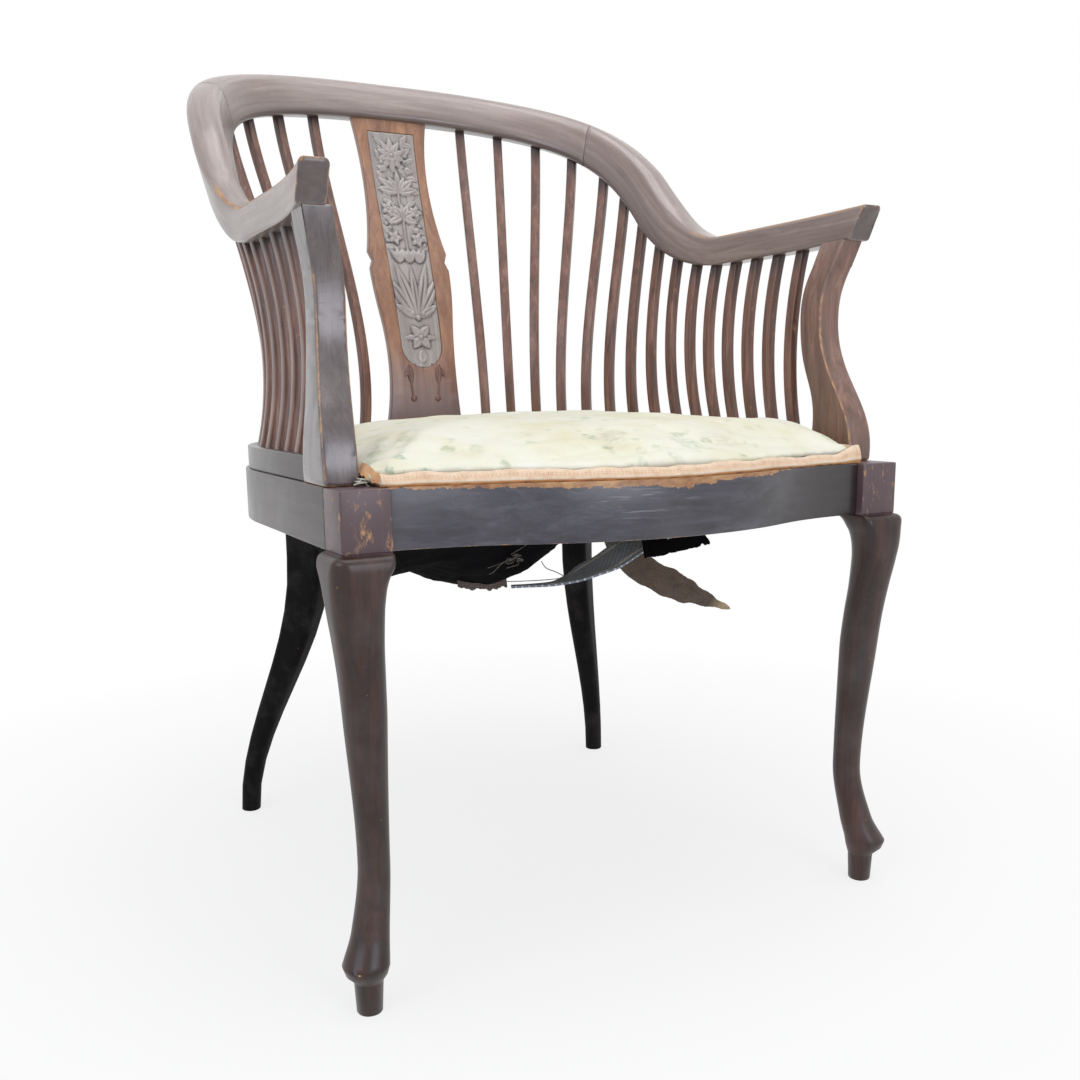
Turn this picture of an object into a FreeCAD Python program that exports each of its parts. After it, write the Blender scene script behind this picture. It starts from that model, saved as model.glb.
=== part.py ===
import FreeCAD, Part
import math
import os
from types import SimpleNamespace

# Bow-back tub armchair: a show-wood horseshoe frame of spindles round a stuffed-over seat.
# Millimetres, +Z up, the front towards -Y. Left and right are as seen from the front, so left is -X.
# The origin is on the floor, under the chair's middle line and close to the middle of its depth. Depths in
# the sheet are measured from the front line, which is the plane of the front legs' heads.

SIZES = (
    ("seat_height", 415, "floor to the top of the seat rails"),
    ("rail_height", 47.5, "seat rails, top to bottom"),
    ("rail_depth", 44, "side and back rails, outside to inside"),
    ("seat_half_width", 270, "middle of the chair to the outside of the side rails"),
    ("seat_straight", 250, "front line to where the seat's round back starts"),
    ("leg_head", 40, "square head of a front leg"),
    ("front_setback", 8, "front rail's ends behind the front line"),
    ("serpentine_bulge", 48, "middle of the front rail ahead of its ends"),
    ("serpentine_turn", 125, "middle of the front rail to where its curve turns"),
    ("front_rail_ends", 28, "front rail's depth at its ends"),
    ("front_rail_middle", 52, "front rail's depth at its middle"),
    ("tenon_height", 30, "seat rail tenons, top to bottom"),
    ("tenon_thickness", 10, "all rail and post tenons"),
    ("front_tenon", 20, "front rail's tenon, length"),
    ("side_tenon", 9, "side rail's tenon, length"),
    ("rear_leg_angle", 44, "rear legs, degrees from the middle line"),
    ("rear_head", 34, "rear leg's head along the rail"),
    ("rear_leg_depth", 41, "rear leg under the rail, along its sweep"),
    ("rear_leg_width", 31, "rear leg under the rail, across its sweep"),
    ("rear_foot", 21, "rear leg at the floor"),
    ("rear_sweep", 92, "rear foot outside the leg's head"),
    ("rear_sweep_height", 300, "floor to where the rear leg starts to sweep out"),
    ("knee_drop", 29.5, "seat rails to the front leg's knee"),
    ("knee_width", 49.5, "front leg at its knee"),
    ("knee_offset", 8.5, "knee outside the leg's head, each way"),
    ("calf_height", 235, "floor to the middle of the front leg"),
    ("calf_width", 34, "front leg at its middle"),
    ("calf_offset", 0.7, "middle of the leg outside its head, each way"),
    ("ankle_height", 118, "floor to the front leg's ankle"),
    ("ankle_width", 25.6, "front leg at its ankle"),
    ("ankle_offset", -3.4, "ankle outside the leg's head, each way"),
    ("pad_height", 42, "floor to the rim of the front foot"),
    ("pad_width", 37.5, "rim of the front foot"),
    ("pad_offset", 11, "front foot outside the leg's head, each way"),
    ("peg_length", 27, "turned peg under the front foot"),
    ("peg_top", 23.5, "peg's diameter under the foot"),
    ("peg_foot", 20.5, "peg's diameter at the floor"),
    ("peg_offset", 8.5, "peg outside the leg's head, each way"),
    ("bow_height", 21, "spindle rail above the seat rails"),
    ("bow_width", 24, "spindle rail, outside to inside"),
    ("bow_setin", 3, "spindle rail inside the seat rail's face"),
    ("post_front", 34, "front line to the arm post's foot"),
    ("post_foot_depth", 57, "arm post's foot, front to back"),
    ("post_foot_width", 28, "arm post's foot, side to side"),
    ("post_waist_share", 0.63, "arm post's waist, as a share of the post's height"),
    ("post_waist_setback", 50.5, "post's waist behind the front of its foot"),
    ("post_waist_depth", 28.5, "arm post's waist, front to back"),
    ("post_waist_width", 25, "arm post's waist, side to side"),
    ("post_waist_in", 20, "outside of the waist inside the outside of the foot"),
    ("post_top_setback", 20, "front of the post's top behind the front of its foot"),
    ("post_top_depth", 31, "arm post's top, front to back"),
    ("post_tenon", 24, "arm post's tenon, length"),
    ("crest_half_width", 257, "middle of the chair to the middle of an arm"),
    ("crest_straight", 343, "front line to where the crest's round back starts"),
    ("arm_tip", 48, "front line to the arm's end"),
    ("arm_height", 632, "floor to the middle of the level arm"),
    ("arm_width", 24, "level arm, side to side"),
    ("arm_thickness", 30, "level arm, top to bottom"),
    ("tip_flare", 8, "arm's end outside the level arm"),
    ("tip_lift", 3, "arm's end above the level arm"),
    ("tip_rake", 15, "top of the arm's end ahead of its lower edge"),
    ("flare_start", 150, "front line to where the arm starts to flare"),
    ("sweep_start", 247, "front line to where the arm starts to rise"),
    ("sweep_hollow", 147, "length of the hollow part of the rise"),
    ("crest_bulge", 24, "crest outside a half circle at its back corners"),
    ("crest_back", 5, "crest behind a half circle at its middle"),
    ("crest_lean", 16, "crest's top outside its underside"),
    ("crest_height", 834, "floor to the middle of the crest at its top"),
    ("crest_depth", 34, "crest, front to back"),
    ("crest_thickness", 46, "crest, top to bottom"),
    ("arm_round", 8, "rounding of the arm's upper edges"),
    ("crest_round", 15, "rounding of the crest's upper edges"),
    ("arm_edge", 2.5, "rounding of the arm's lower edges"),
    ("crest_edge", 9, "rounding of the crest's lower edges"),
    ("spindle_width", 11, "spindle along the rail"),
    ("spindle_thickness", 9, "spindle across the rail"),
    ("spindle_first", 31, "arm post to the first spindle"),
    ("spindle_last", 82, "last spindle to the middle line, along the spindle rail"),
    ("spindle_top_first", 123, "front line to the first spindle's top"),
    ("spindle_top_shoulder", 470, "front line to the shoulder spindle's top, along the crest"),
    ("spindle_top_last", 94, "last spindle's top to the middle line, along the crest"),
    ("side_bow", 13, "how far the first spindle bows inwards"),
    ("back_bow", 19, "how far the last spindle bows inwards"),
    ("socket_depth", 8, "sockets of the spindles and the splat"),
    ("splat_thickness", 10, "splat, front to back"),
    ("splat_foot_in", 6, "splat's foot inside the spindle rail's middle"),
    ("splat_top_in", 4, "splat's top inside the middle of the crest's underside"),
    ("splat_bow", 15, "how far the splat bows forwards"),
    ("splat_foot_half", 49, "half of the splat's width at its foot"),
    ("splat_waist_half", 41.5, "half of the splat's lower waist"),
    ("splat_ear_half", 50, "half of the splat's width at its ears"),
    ("splat_neck_half", 40.3, "half of the splat's upper waist"),
    ("splat_top_half", 49.5, "half of the splat's width at its top"),
    ("splat_waist_share", 0.245, "splat's lower waist, as a share of its height"),
    ("splat_ear_share", 0.568, "nick between the splat's ears, as a share of its height"),
    ("splat_neck_share", 0.803, "splat's upper waist, as a share of its height"),
    ("splat_nick", 4, "depth of the nick between the splat's ears"),
    ("panel_depth", 1.6, "sunk ground of the splat's carving"),
    ("panel_top_half", 30, "half of the sunk panel's width at its top"),
    ("panel_foot_half", 26, "half of the sunk panel's width at its foot"),
    ("panel_foot_share", 0.2475, "foot of the sunk panel, as a share of the splat's height"),
    ("panel_margin", 14, "sunk panel below the crest"),
    ("dowel_diameter", 9, "joint dowels"),
    ("dowel_length", 30, "joint dowels"),
    ("dowel_pitch", 18, "between the two dowels of a joint"),
    ("corner_leg", 62, "corner block along each rail"),
    ("corner_height", 30, "corner block, top to bottom"),
    ("screw_diameter", 4.5, "corner block screws"),
    ("screw_length", 34, "corner block screws"),
    ("screw_head", 9, "corner block screws' heads"),
    ("webbing_width", 50, "seat webbing"),
    ("webbing_thickness", 2, "seat webbing"),
    ("webbing_pitch", 105, "between the straps of the webbing"),
    ("webbing_margin", 12, "ends of the webbing inside the seat cover"),
    ("hessian_thickness", 1.2, "hessian over the webbing"),
    ("cover_clearance", 1.5, "seat cover inside the spindle rail"),
    ("cover_setback", 6, "seat cover behind the front rail's face"),
    ("cover_corner", 30.6, "front line to where the seat cover's sides start"),
    ("cover_thickness", 1.6, "seat cover"),
    ("cover_side", 14, "upright edge of the seat cover"),
    ("cover_crown", 48, "seat rails to the top of the seat cover"),
    ("braid_height", 9, "braid along the front of the seat"),
    ("braid_thickness", 1.5, "braid along the front of the seat"),
    ("cloth_thickness", 1.2, "dust cover and torn hessian"),
    ("dust_sag", 50, "how far the torn dust cover hangs below the rails"),
    ("dust_reach", 215, "front line to the torn back edge of the dust cover"),
    ("strap_drop", 54, "how far the loose strap hangs below the front rail"),
    ("tail_drop", 96, "how far the torn hessian hangs below the rails"),
)
# Counts and shares: of spindles, steps along each loft, straps, the seat cover's base and flat top,
# and the handles, lean and plinth of the arm posts' curves.
SIDES = ((-1, "left"), (1, "right"))
SPINDLES_A_SIDE = 15
SHOULDER_SPINDLE = 10
CREST_STEPS = 24
FRONT_LEG_STEPS = 4
REAR_LEG_STEPS = 12
DOME_STEPS = 6
CLOTH_STEPS = 3
STRAPS_EACH_WAY = 3
SEAT_BASE = 0.985
SEAT_TABLE = 0.3
HANDLE = 0.4
TOP_LEAN = 0.6
PLINTH = 1.2
ARCH = 2.78

V = FreeCAD.Vector
UP = V(0, 0, 1)
doc = FreeCAD.newDocument("tub_chair")
sheet = doc.addObject("Spreadsheet::Sheet", "sizes")
for row, (alias, value, note) in enumerate(SIZES, start=1):
    sheet.set(f"A{row}", note)
    sheet.set(f"B{row}", str(value))
    sheet.setAlias(f"B{row}", alias)
doc.recompute()
dim = SimpleNamespace(**{alias: float(sheet.get(alias)) for alias, value, note in SIZES})
nodes = []

# Places that follow from the sheet

crest_reach = dim.crest_straight + dim.crest_half_width + dim.crest_depth / 2
front_reach = dim.serpentine_bulge - dim.front_setback
front_line = (front_reach - crest_reach) / 2
seat_centre = V(0, front_line + dim.seat_straight, 0)
crest_centre = V(0, front_line + dim.crest_straight, 0)
rail_bottom = dim.seat_height - dim.rail_height
rail_inside = dim.seat_half_width - dim.rail_depth
bow_top = dim.seat_height + dim.bow_height
bow_outside = dim.seat_half_width - dim.bow_setin
bow_inside = bow_outside - dim.bow_width
bow_middle = bow_outside - dim.bow_width / 2
post_back = dim.post_front + dim.post_foot_depth
bow_half_length = dim.seat_straight + bow_middle * math.pi / 2
crest_half_length = dim.crest_straight + dim.crest_half_width * math.pi / 2
post_outside = dim.seat_half_width
post_middle = post_outside - dim.post_foot_width / 2


# Small helpers for the document

def finish(thing, node):
    """Give an object its node's name and list it for writing."""
    thing.Label = node
    nodes.append(thing)
    return thing


def plane_of(body, role):
    """One of the body's own origin planes."""
    return next(plane for plane in body.Origin.OriginFeatures if plane.Role == role)


def outline(*runs):
    """Sketch edges: two points make a line, three an arc through them, four a Bezier curve."""
    edges = []
    for run in runs:
        points = [V(*point) for point in run]
        if len(points) == 2:
            edges.append(Part.LineSegment(*points))
        elif len(points) == 3:
            edges.append(Part.Arc(*points))
        else:
            curve = Part.BezierCurve()
            curve.setPoles(points)
            edges.append(curve.toBSpline())
    return edges


def padded_body(name, role, edges, length, offset="0", side_type="One side"):
    """A body with one sketch, lifted off an origin plane, and one pad."""
    body = doc.addObject("PartDesign::Body", name)
    sketch = body.newObject("Sketcher::SketchObject", name + "_sketch")
    sketch.AttachmentSupport = [(plane_of(body, role), "")]
    sketch.MapMode = "FlatFace"
    sketch.setExpression("AttachmentOffset.Base.z", offset)
    for edge in edges:
        sketch.addGeometry(edge, False)
    pad = body.newObject("PartDesign::Pad", name + "_pad")
    pad.Profile = sketch
    pad.SideType = side_type
    pad.setExpression("Length", length)
    return body


def box(name, low, lengths):
    """A box at its lowest corner, with its three lengths bound to the sheet."""
    thing = doc.addObject("Part::Box", name)
    for side, length in zip(("Length", "Width", "Height"), lengths):
        thing.setExpression(side, length)
    thing.Placement.Base = low
    return thing


def dowel(name, middle, along):
    """A joint dowel about its middle point."""
    thing = doc.addObject("Part::Cylinder", name)
    thing.setExpression("Radius", "sizes.dowel_diameter / 2")
    thing.setExpression("Height", "sizes.dowel_length")
    turn = FreeCAD.Rotation(UP, along)
    half = along.normalize() * (dim.dowel_length / 2)
    thing.Placement = FreeCAD.Placement(middle - half, turn)
    return thing


def feature(name, shape):
    """An object that holds a shape worked out from the sheet."""
    thing = doc.addObject("Part::Feature", name)
    thing.Shape = shape
    return thing


def compound(name, things):
    group = doc.addObject("Part::Compound", name)
    group.Links = things
    return group


def fuse(name, things):
    joined = doc.addObject("Part::MultiFuse", name)
    joined.Shapes = things
    return joined


def cut(name, base, tool):
    result = doc.addObject("Part::Cut", name)
    result.Base = base
    result.Tool = tool
    return result


def common(name, base, tool):
    result = doc.addObject("Part::Common", name)
    result.Base = base
    result.Tool = tool
    return result


def smooth(share):
    """Smooth step from 0 to 1."""
    share = min(max(share, 0), 1)
    return share * share * (3 - 2 * share)


def rounded_section(middle, across, up, width, height, upper, lower):
    """Closed wire of four lines and four arcs, with its own rounding above and below."""
    a = width / 2
    b = height / 2
    diagonal = math.sqrt(0.5)

    def place(x, z):
        return middle + across * x + up * z

    def corner(x_sign, z_sign, radius):
        cx = x_sign * (a - radius)
        cz = z_sign * (b - radius)
        on_side = place(x_sign * a, cz)
        on_end = place(cx, z_sign * b)
        top = place(cx + x_sign * radius * diagonal, cz + z_sign * radius * diagonal)
        return on_side, top, on_end

    right_low = corner(1, -1, lower)
    right_high = corner(1, 1, upper)
    left_high = corner(-1, 1, upper)
    left_low = corner(-1, -1, lower)
    runs = (
        (left_low[2], right_low[2]),
        right_low[::-1],
        (right_low[0], right_high[0]),
        right_high,
        (right_high[2], left_high[2]),
        left_high[::-1],
        (left_high[0], left_low[0]),
        left_low,
    )
    return Part.Wire([edge.toShape() for edge in outline(*runs)])


def loft(wires):
    """Solid through a run of sections, straight from each to the next."""
    return Part.makeLoft(list(wires), True, True)


def through(stations, steps):
    """Rows on a smooth curve through stations, which are rows led by how far along they stand."""

    def secants(index):
        start = stations[index]
        end = stations[index + 1]
        return [(b - a) / (end[0] - start[0]) for a, b in zip(start, end)]

    def slopes(index):
        """Slopes at a station, level where a run turns, so that no curve swings past its stations."""
        before = secants(max(index - 1, 0))
        after = secants(min(index, len(stations) - 2))
        return [2 * a * b / (a + b) if a * b > 0 else 0 for a, b in zip(before, after)]

    rows = [list(stations[0])]
    for index in range(len(stations) - 1):
        start = stations[index]
        end = stations[index + 1]
        span = end[0] - start[0]
        for step in range(1, steps + 1):
            share = step / steps
            to_end = smooth(share)
            leave = share * (1 - share) ** 2 * span
            arrive = share ** 2 * (share - 1) * span
            rows.append([a + (b - a) * to_end + leave * m + arrive * n
                         for a, b, m, n in zip(start, end, slopes(index), slopes(index + 1))])
    return rows


# Places along the spindle rail and along the arms and crest

def horseshoe(radius, straight, along):
    """Point on the right half of a horseshoe, that far from the front line, and its outward normal."""
    if along <= straight:
        return V(radius, front_line + along, 0), V(1, 0, 0)
    turn = (along - straight) / radius
    normal = V(math.cos(turn), math.sin(turn), 0)
    return V(0, front_line + straight, 0) + normal * radius, normal


def crest_level(along):
    """Height of the crest's middle: a level arm, a hollow rise, then one long full arch."""
    length = crest_half_length - dim.sweep_start
    hollow = dim.sweep_hollow / length
    share = (along - dim.sweep_start) / length
    rise = dim.crest_height - dim.arm_height
    steepest = 1 / (hollow / 2 + (1 - hollow) / ARCH)
    if share <= 0:
        flare = max(dim.flare_start - along, 0) / (dim.flare_start - dim.arm_tip)
        return dim.arm_height + dim.tip_lift * flare * flare
    if share < hollow:
        return dim.arm_height + rise * steepest * share * share / (2 * hollow)
    to_top = max((1 - share) / (1 - hollow), 0)
    return dim.crest_height - rise * steepest * (1 - hollow) / ARCH * to_top ** ARCH


def crest_share(along):
    """How far the arm has become the crest, from 0 to 1."""
    return smooth((along - dim.sweep_start) / dim.sweep_hollow)


def crest_sizes(along):
    """Width, upright height and the two roundings of the arm or crest at a place along it."""
    blend = crest_share(along)
    step = 1.0
    slope = (crest_level(along + step) - crest_level(along - step)) / (2 * step)

    def between(arm, crest):
        return arm + (crest - arm) * blend

    return (
        between(dim.arm_width, dim.crest_depth),
        between(dim.arm_thickness, dim.crest_thickness) * math.hypot(1, slope),
        between(dim.arm_round, dim.crest_round),
        between(dim.arm_edge, dim.crest_edge),
    )


def crest_place(along):
    """Middle of the arm or crest on the right half, and its outward normal."""
    point, normal = horseshoe(dim.crest_half_width, dim.crest_straight, along)
    flare = max(dim.flare_start - along, 0) / (dim.flare_start - dim.arm_tip)
    turn = max(along - dim.crest_straight, 0) / dim.crest_half_width
    outward = dim.tip_flare * flare * flare
    outward += dim.crest_bulge * math.sin(2 * turn) ** 2 + dim.crest_back * math.sin(turn) ** 2
    return point + normal * outward + UP * crest_level(along), normal


def crest_up(along):
    """The section's own way up, which leans out where the arm has become the crest."""
    normal = crest_place(along)[1]
    return UP + normal * (dim.crest_lean * crest_share(along) / crest_sizes(along)[1])


def crest_under(along):
    return crest_level(along) - crest_sizes(along)[1] / 2


def crest_seat(along):
    """Middle of the underside of the arm or crest."""
    return crest_place(along)[0] - crest_up(along) * (crest_sizes(along)[1] / 2)


def mirrored(vector, side):
    return V(side * vector.x, vector.y, vector.z)


# Seat frame

def serpentine(setback):
    """Front rail's face as three arcs from left to right, moved back by setback."""
    end = dim.seat_half_width - dim.leg_head
    turn = dim.serpentine_turn
    back = front_line + dim.front_setback + setback
    turn_y = back - dim.serpentine_bulge * (1 - turn / end)
    crown_y = back - dim.serpentine_bulge

    def swell(x):
        """Depth of the face: hollow beyond the turn, full within it."""
        if x > turn:
            radius = ((end - turn) ** 2 + (back - turn_y) ** 2) / (2 * (back - turn_y))
            return back - radius + math.sqrt(radius ** 2 - (end - x) ** 2)
        radius = (turn ** 2 + (turn_y - crown_y) ** 2) / (2 * (turn_y - crown_y))
        return crown_y + radius - math.sqrt(radius ** 2 - x ** 2)

    flank = (end + turn) / 2
    return (
        ((-end, back), (-flank, swell(flank)), (-turn, turn_y)),
        ((-turn, turn_y), (0, crown_y), (turn, turn_y)),
        ((turn, turn_y), (flank, swell(flank)), (end, back)),
    )


def head_corner(radius, offset, side):
    """Corner of a rear leg's head on a circle of the seat: offset towards the front is positive."""
    angle = math.radians(dim.rear_leg_angle)
    out = V(math.sin(angle), math.cos(angle), 0)
    forward = V(math.cos(angle), -math.sin(angle), 0)
    point = seat_centre + out * math.sqrt(radius ** 2 - offset ** 2) + forward * offset
    return mirrored(point, side)


def seat_circle(radius, degrees, side):
    """Point on a circle of the seat, in degrees from the middle line."""
    angle = math.radians(degrees)
    return mirrored(seat_centre + V(math.sin(angle), math.cos(angle), 0) * radius, side)


def degrees_of(point):
    return math.degrees(math.atan2(abs(point.x), point.y - seat_centre.y))


def tenon_low():
    return rail_bottom + (dim.rail_height - dim.tenon_height) / 2


def make_front_rail():
    """Serpentine front rail, tenoned into the heads of the front legs."""
    end = dim.seat_half_width - dim.leg_head
    back = front_line + dim.front_setback + dim.front_rail_ends
    middle = front_line - front_reach + dim.front_rail_middle
    runs = serpentine(0) + (
        ((end, front_line + dim.front_setback), (end, back)),
        ((end, back), (0, middle), (-end, back)),
        ((-end, back), (-end, front_line + dim.front_setback)),
    )
    body = padded_body("front_rail_body", "XY_Plane", outline(*runs), "sizes.rail_height",
                       "sizes.seat_height - sizes.rail_height")
    tenons = []
    for side, word in SIDES:
        x = end if side > 0 else -end - dim.front_tenon
        y = front_line + dim.front_setback + (dim.front_rail_ends - dim.tenon_thickness) / 2
        tenons.append(box(f"front_tenon_{word}", V(x, y, tenon_low()),
                          ("sizes.front_tenon", "sizes.tenon_thickness", "sizes.tenon_height")))
    return fuse("front_rail_blank", [body] + tenons), tenons


def make_side_rail(side, word):
    """Side rail: straight, then round to the rear leg's head, with a tenon at its front."""
    start = front_line + dim.leg_head
    runs = []
    outer_end = head_corner(dim.seat_half_width, dim.rear_head / 2, side)
    inner_end = head_corner(rail_inside, dim.rear_head / 2, side)
    outer_mid = seat_circle(dim.seat_half_width, (90 + degrees_of(outer_end)) / 2, side)
    inner_mid = seat_circle(rail_inside, (90 + degrees_of(inner_end)) / 2, side)
    outer = side * dim.seat_half_width
    inner = side * rail_inside
    runs.append(((outer, start), (outer, seat_centre.y)))
    runs.append(((outer, seat_centre.y), outer_mid, outer_end))
    runs.append((outer_end, inner_end))
    runs.append((inner_end, inner_mid, (inner, seat_centre.y)))
    runs.append(((inner, seat_centre.y), (inner, start)))
    runs.append(((inner, start), (outer, start)))
    body = padded_body(f"{word}_side_rail_body", "XY_Plane", outline(*runs), "sizes.rail_height",
                       "sizes.seat_height - sizes.rail_height")
    x = side * (dim.seat_half_width - dim.leg_head / 2) - dim.tenon_thickness / 2
    tenon = box(f"{word}_side_tenon", V(x, start - dim.side_tenon, tenon_low()),
                ("sizes.tenon_thickness", "sizes.side_tenon", "sizes.tenon_height"))
    return fuse(f"{word}_side_rail_blank", [body, tenon]), tenon


def make_back_rail():
    """Round back rail between the heads of the rear legs."""
    outer = [head_corner(dim.seat_half_width, -dim.rear_head / 2, side) for side, word in SIDES]
    inner = [head_corner(rail_inside, -dim.rear_head / 2, side) for side, word in SIDES]
    runs = (
        (outer[0], seat_circle(dim.seat_half_width, 0, 1), outer[1]),
        (outer[1], inner[1]),
        (inner[1], seat_circle(rail_inside, 0, 1), inner[0]),
        (inner[0], outer[0]),
    )
    return padded_body("back_rail_body", "XY_Plane", outline(*runs), "sizes.rail_height",
                       "sizes.seat_height - sizes.rail_height")


def make_front_leg(side, word):
    """Cabriole leg with its square head, padded foot and turned peg."""
    head = V(side * (dim.seat_half_width - dim.leg_head / 2), front_line + dim.leg_head / 2, 0)
    out = V(side, -1, 0)
    across = V(1, 0, 0)
    along = V(0, 1, 0)

    def section(height, width, offset, rounding):
        middle = head + out * offset + UP * height
        radius = rounding * width
        return rounded_section(middle, across, along, width, width, radius, radius)

    def between(low, high, share):
        return low + (high - low) * share

    square = 0.06
    soft = 0.36
    full = 0.48
    knee_height = rail_bottom - dim.knee_drop
    knee_top = between(knee_height, rail_bottom, 0.5)
    flare_height = between(dim.pad_height, dim.ankle_height, 0.3)
    flare_width = between(dim.pad_width, dim.ankle_width, 0.62)
    flare_offset = between(dim.pad_offset, dim.ankle_offset, 0.48)
    shank = loft(section(*row) for row in through((
        (rail_bottom, dim.leg_head, 0, square),
        (knee_top, between(dim.leg_head, dim.knee_width, 0.8), dim.knee_offset * 0.75, soft),
        (knee_height, dim.knee_width, dim.knee_offset, soft),
        (dim.calf_height, dim.calf_width, dim.calf_offset, full),
        (dim.ankle_height, dim.ankle_width, dim.ankle_offset, full),
        (flare_height, flare_width, flare_offset, full),
        (dim.pad_height, dim.pad_width, dim.pad_offset, full),
    ), FRONT_LEG_STEPS))
    under_height = between(dim.peg_length, dim.pad_height, 0.5)
    under_width = between(dim.peg_top, dim.pad_width, 0.72)
    under_offset = between(dim.peg_offset, dim.pad_offset, 0.8)
    sole = loft((
        section(dim.pad_height, dim.pad_width, dim.pad_offset, full),
        section(under_height, under_width, under_offset, full),
        section(dim.peg_length, dim.peg_top, dim.peg_offset, full),
    ))
    peg = loft((
        section(dim.peg_length, dim.peg_top, dim.peg_offset, full),
        section(0, dim.peg_foot, dim.peg_offset, full),
    ))
    pieces = [feature(f"front_{word}_shank", shank), feature(f"front_{word}_sole", sole),
              feature(f"front_{word}_peg", peg)]
    low = head - V(dim.leg_head / 2, dim.leg_head / 2, 0) + UP * rail_bottom
    pieces.append(box(f"front_{word}_head", low, ("sizes.leg_head", "sizes.leg_head", "sizes.rail_height")))
    return fuse(f"front_{word}_leg_blank", pieces)


def make_rear_leg(side, word):
    """Sabre leg that sweeps out from its head between the side and back rails."""
    angle = math.radians(dim.rear_leg_angle)
    out = V(side * math.sin(angle), math.cos(angle), 0)
    across = V(side * math.cos(angle), -math.sin(angle), 0)
    middle = (dim.seat_half_width + rail_inside) / 2
    wires = []
    for step in range(REAR_LEG_STEPS + 1):
        height = rail_bottom * (1 - step / REAR_LEG_STEPS)
        blend = smooth(1 - height / dim.rear_sweep_height)
        depth = dim.rear_leg_depth + (dim.rear_foot - dim.rear_leg_depth) * blend
        width = dim.rear_leg_width + (dim.rear_foot - dim.rear_leg_width) * blend
        place = seat_centre + out * (middle + dim.rear_sweep * blend) + UP * height
        rounding = (0.2 + 0.27 * blend) * min(depth, width)
        wires.append(rounded_section(place, across, out, width, depth, rounding, rounding))
    shank = feature(f"rear_{word}_shank", loft(wires))
    half = dim.rear_head / 2
    outer = [head_corner(dim.seat_half_width, offset, side) for offset in (half, -half)]
    inner = [head_corner(rail_inside, offset, side) for offset in (half, -half)]
    runs = (
        (outer[0], seat_circle(dim.seat_half_width, dim.rear_leg_angle, side), outer[1]),
        (outer[1], inner[1]),
        (inner[1], seat_circle(rail_inside, dim.rear_leg_angle, side), inner[0]),
        (inner[0], outer[0]),
    )
    head = padded_body(f"rear_{word}_head", "XY_Plane", outline(*runs), "sizes.rail_height",
                       "sizes.seat_height - sizes.rail_height")
    return fuse(f"rear_{word}_leg_blank", [shank, head])


def make_rail_dowels():
    """Two dowels in each joint between a rear leg's head and its rails."""
    rods = []
    angle = math.radians(dim.rear_leg_angle)
    middle = (dim.seat_half_width + rail_inside) / 2
    for side, word in SIDES:
        along = V(side * math.cos(angle), -math.sin(angle), 0)
        for offset in (dim.rear_head / 2, -dim.rear_head / 2):
            joint = head_corner(middle, offset, side)
            for step in (-0.5, 0.5):
                level = rail_bottom + dim.rail_height / 2 + step * dim.dowel_pitch
                rods.append(dowel(f"rail_dowel_{len(rods)}", joint + UP * level, V(along)))
    return rods


# Spindle rail

def make_bow_pieces(joint_degrees):
    """The raised rail for the spindles, in a left, a back and a right piece."""
    pieces = {}
    for side, word in SIDES:
        start = front_line + post_back
        outer = side * bow_outside
        inner = side * bow_inside
        half_way = (90 + joint_degrees) / 2
        outer_end = seat_circle(bow_outside, joint_degrees, side)
        inner_end = seat_circle(bow_inside, joint_degrees, side)
        runs = (
            ((outer, start), (outer, seat_centre.y)),
            ((outer, seat_centre.y), seat_circle(bow_outside, half_way, side), outer_end),
            (outer_end, inner_end),
            (inner_end, seat_circle(bow_inside, half_way, side), (inner, seat_centre.y)),
            ((inner, seat_centre.y), (inner, start)),
            ((inner, start), (outer, start)),
        )
        pieces[word] = runs
    outer = [seat_circle(bow_outside, joint_degrees, side) for side, word in SIDES]
    inner = [seat_circle(bow_inside, joint_degrees, side) for side, word in SIDES]
    pieces["back"] = (
        (outer[0], seat_circle(bow_outside, 0, 1), outer[1]),
        (outer[1], inner[1]),
        (inner[1], seat_circle(bow_inside, 0, 1), inner[0]),
        (inner[0], outer[0]),
    )
    return {word: padded_body(f"{word}_bow_body", "XY_Plane", outline(*runs), "sizes.bow_height",
                              "sizes.seat_height") for word, runs in pieces.items()}


# Spindles and splat

def ogee(lean, bow, length, half):
    """Two long faces and two ends of a piece that bows inwards and leans out, in its own plane."""
    third = length / 3
    pull = 4 * bow / 3

    def face(x):
        return ((x, 0), (x - pull, third), (x + lean - pull, length - third), (x + lean, length))

    return outline(face(-half), face(half), ((-half, 0), (half, 0)),
                   ((lean - half, length), (lean + half, length)))


def spindle_places():
    """Along the spindle rail and along the crest, for each spindle from the post to the splat."""
    first = post_back + dim.spindle_first
    last = bow_half_length - dim.spindle_last
    pitch = (last - first) / (SPINDLES_A_SIDE - 1)
    arm_pitch = (dim.spindle_top_shoulder - dim.spindle_top_first) / SHOULDER_SPINDLE
    top_last = crest_half_length - dim.spindle_top_last
    back_pitch = (top_last - dim.spindle_top_shoulder) / (SPINDLES_A_SIDE - 1 - SHOULDER_SPINDLE)
    places = []
    for number in range(SPINDLES_A_SIDE):
        foot = first + number * pitch
        if number <= SHOULDER_SPINDLE:
            top = dim.spindle_top_first + number * arm_pitch
        else:
            top = dim.spindle_top_shoulder + (number - SHOULDER_SPINDLE) * back_pitch
        places.append((foot, top))
    return places


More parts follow.
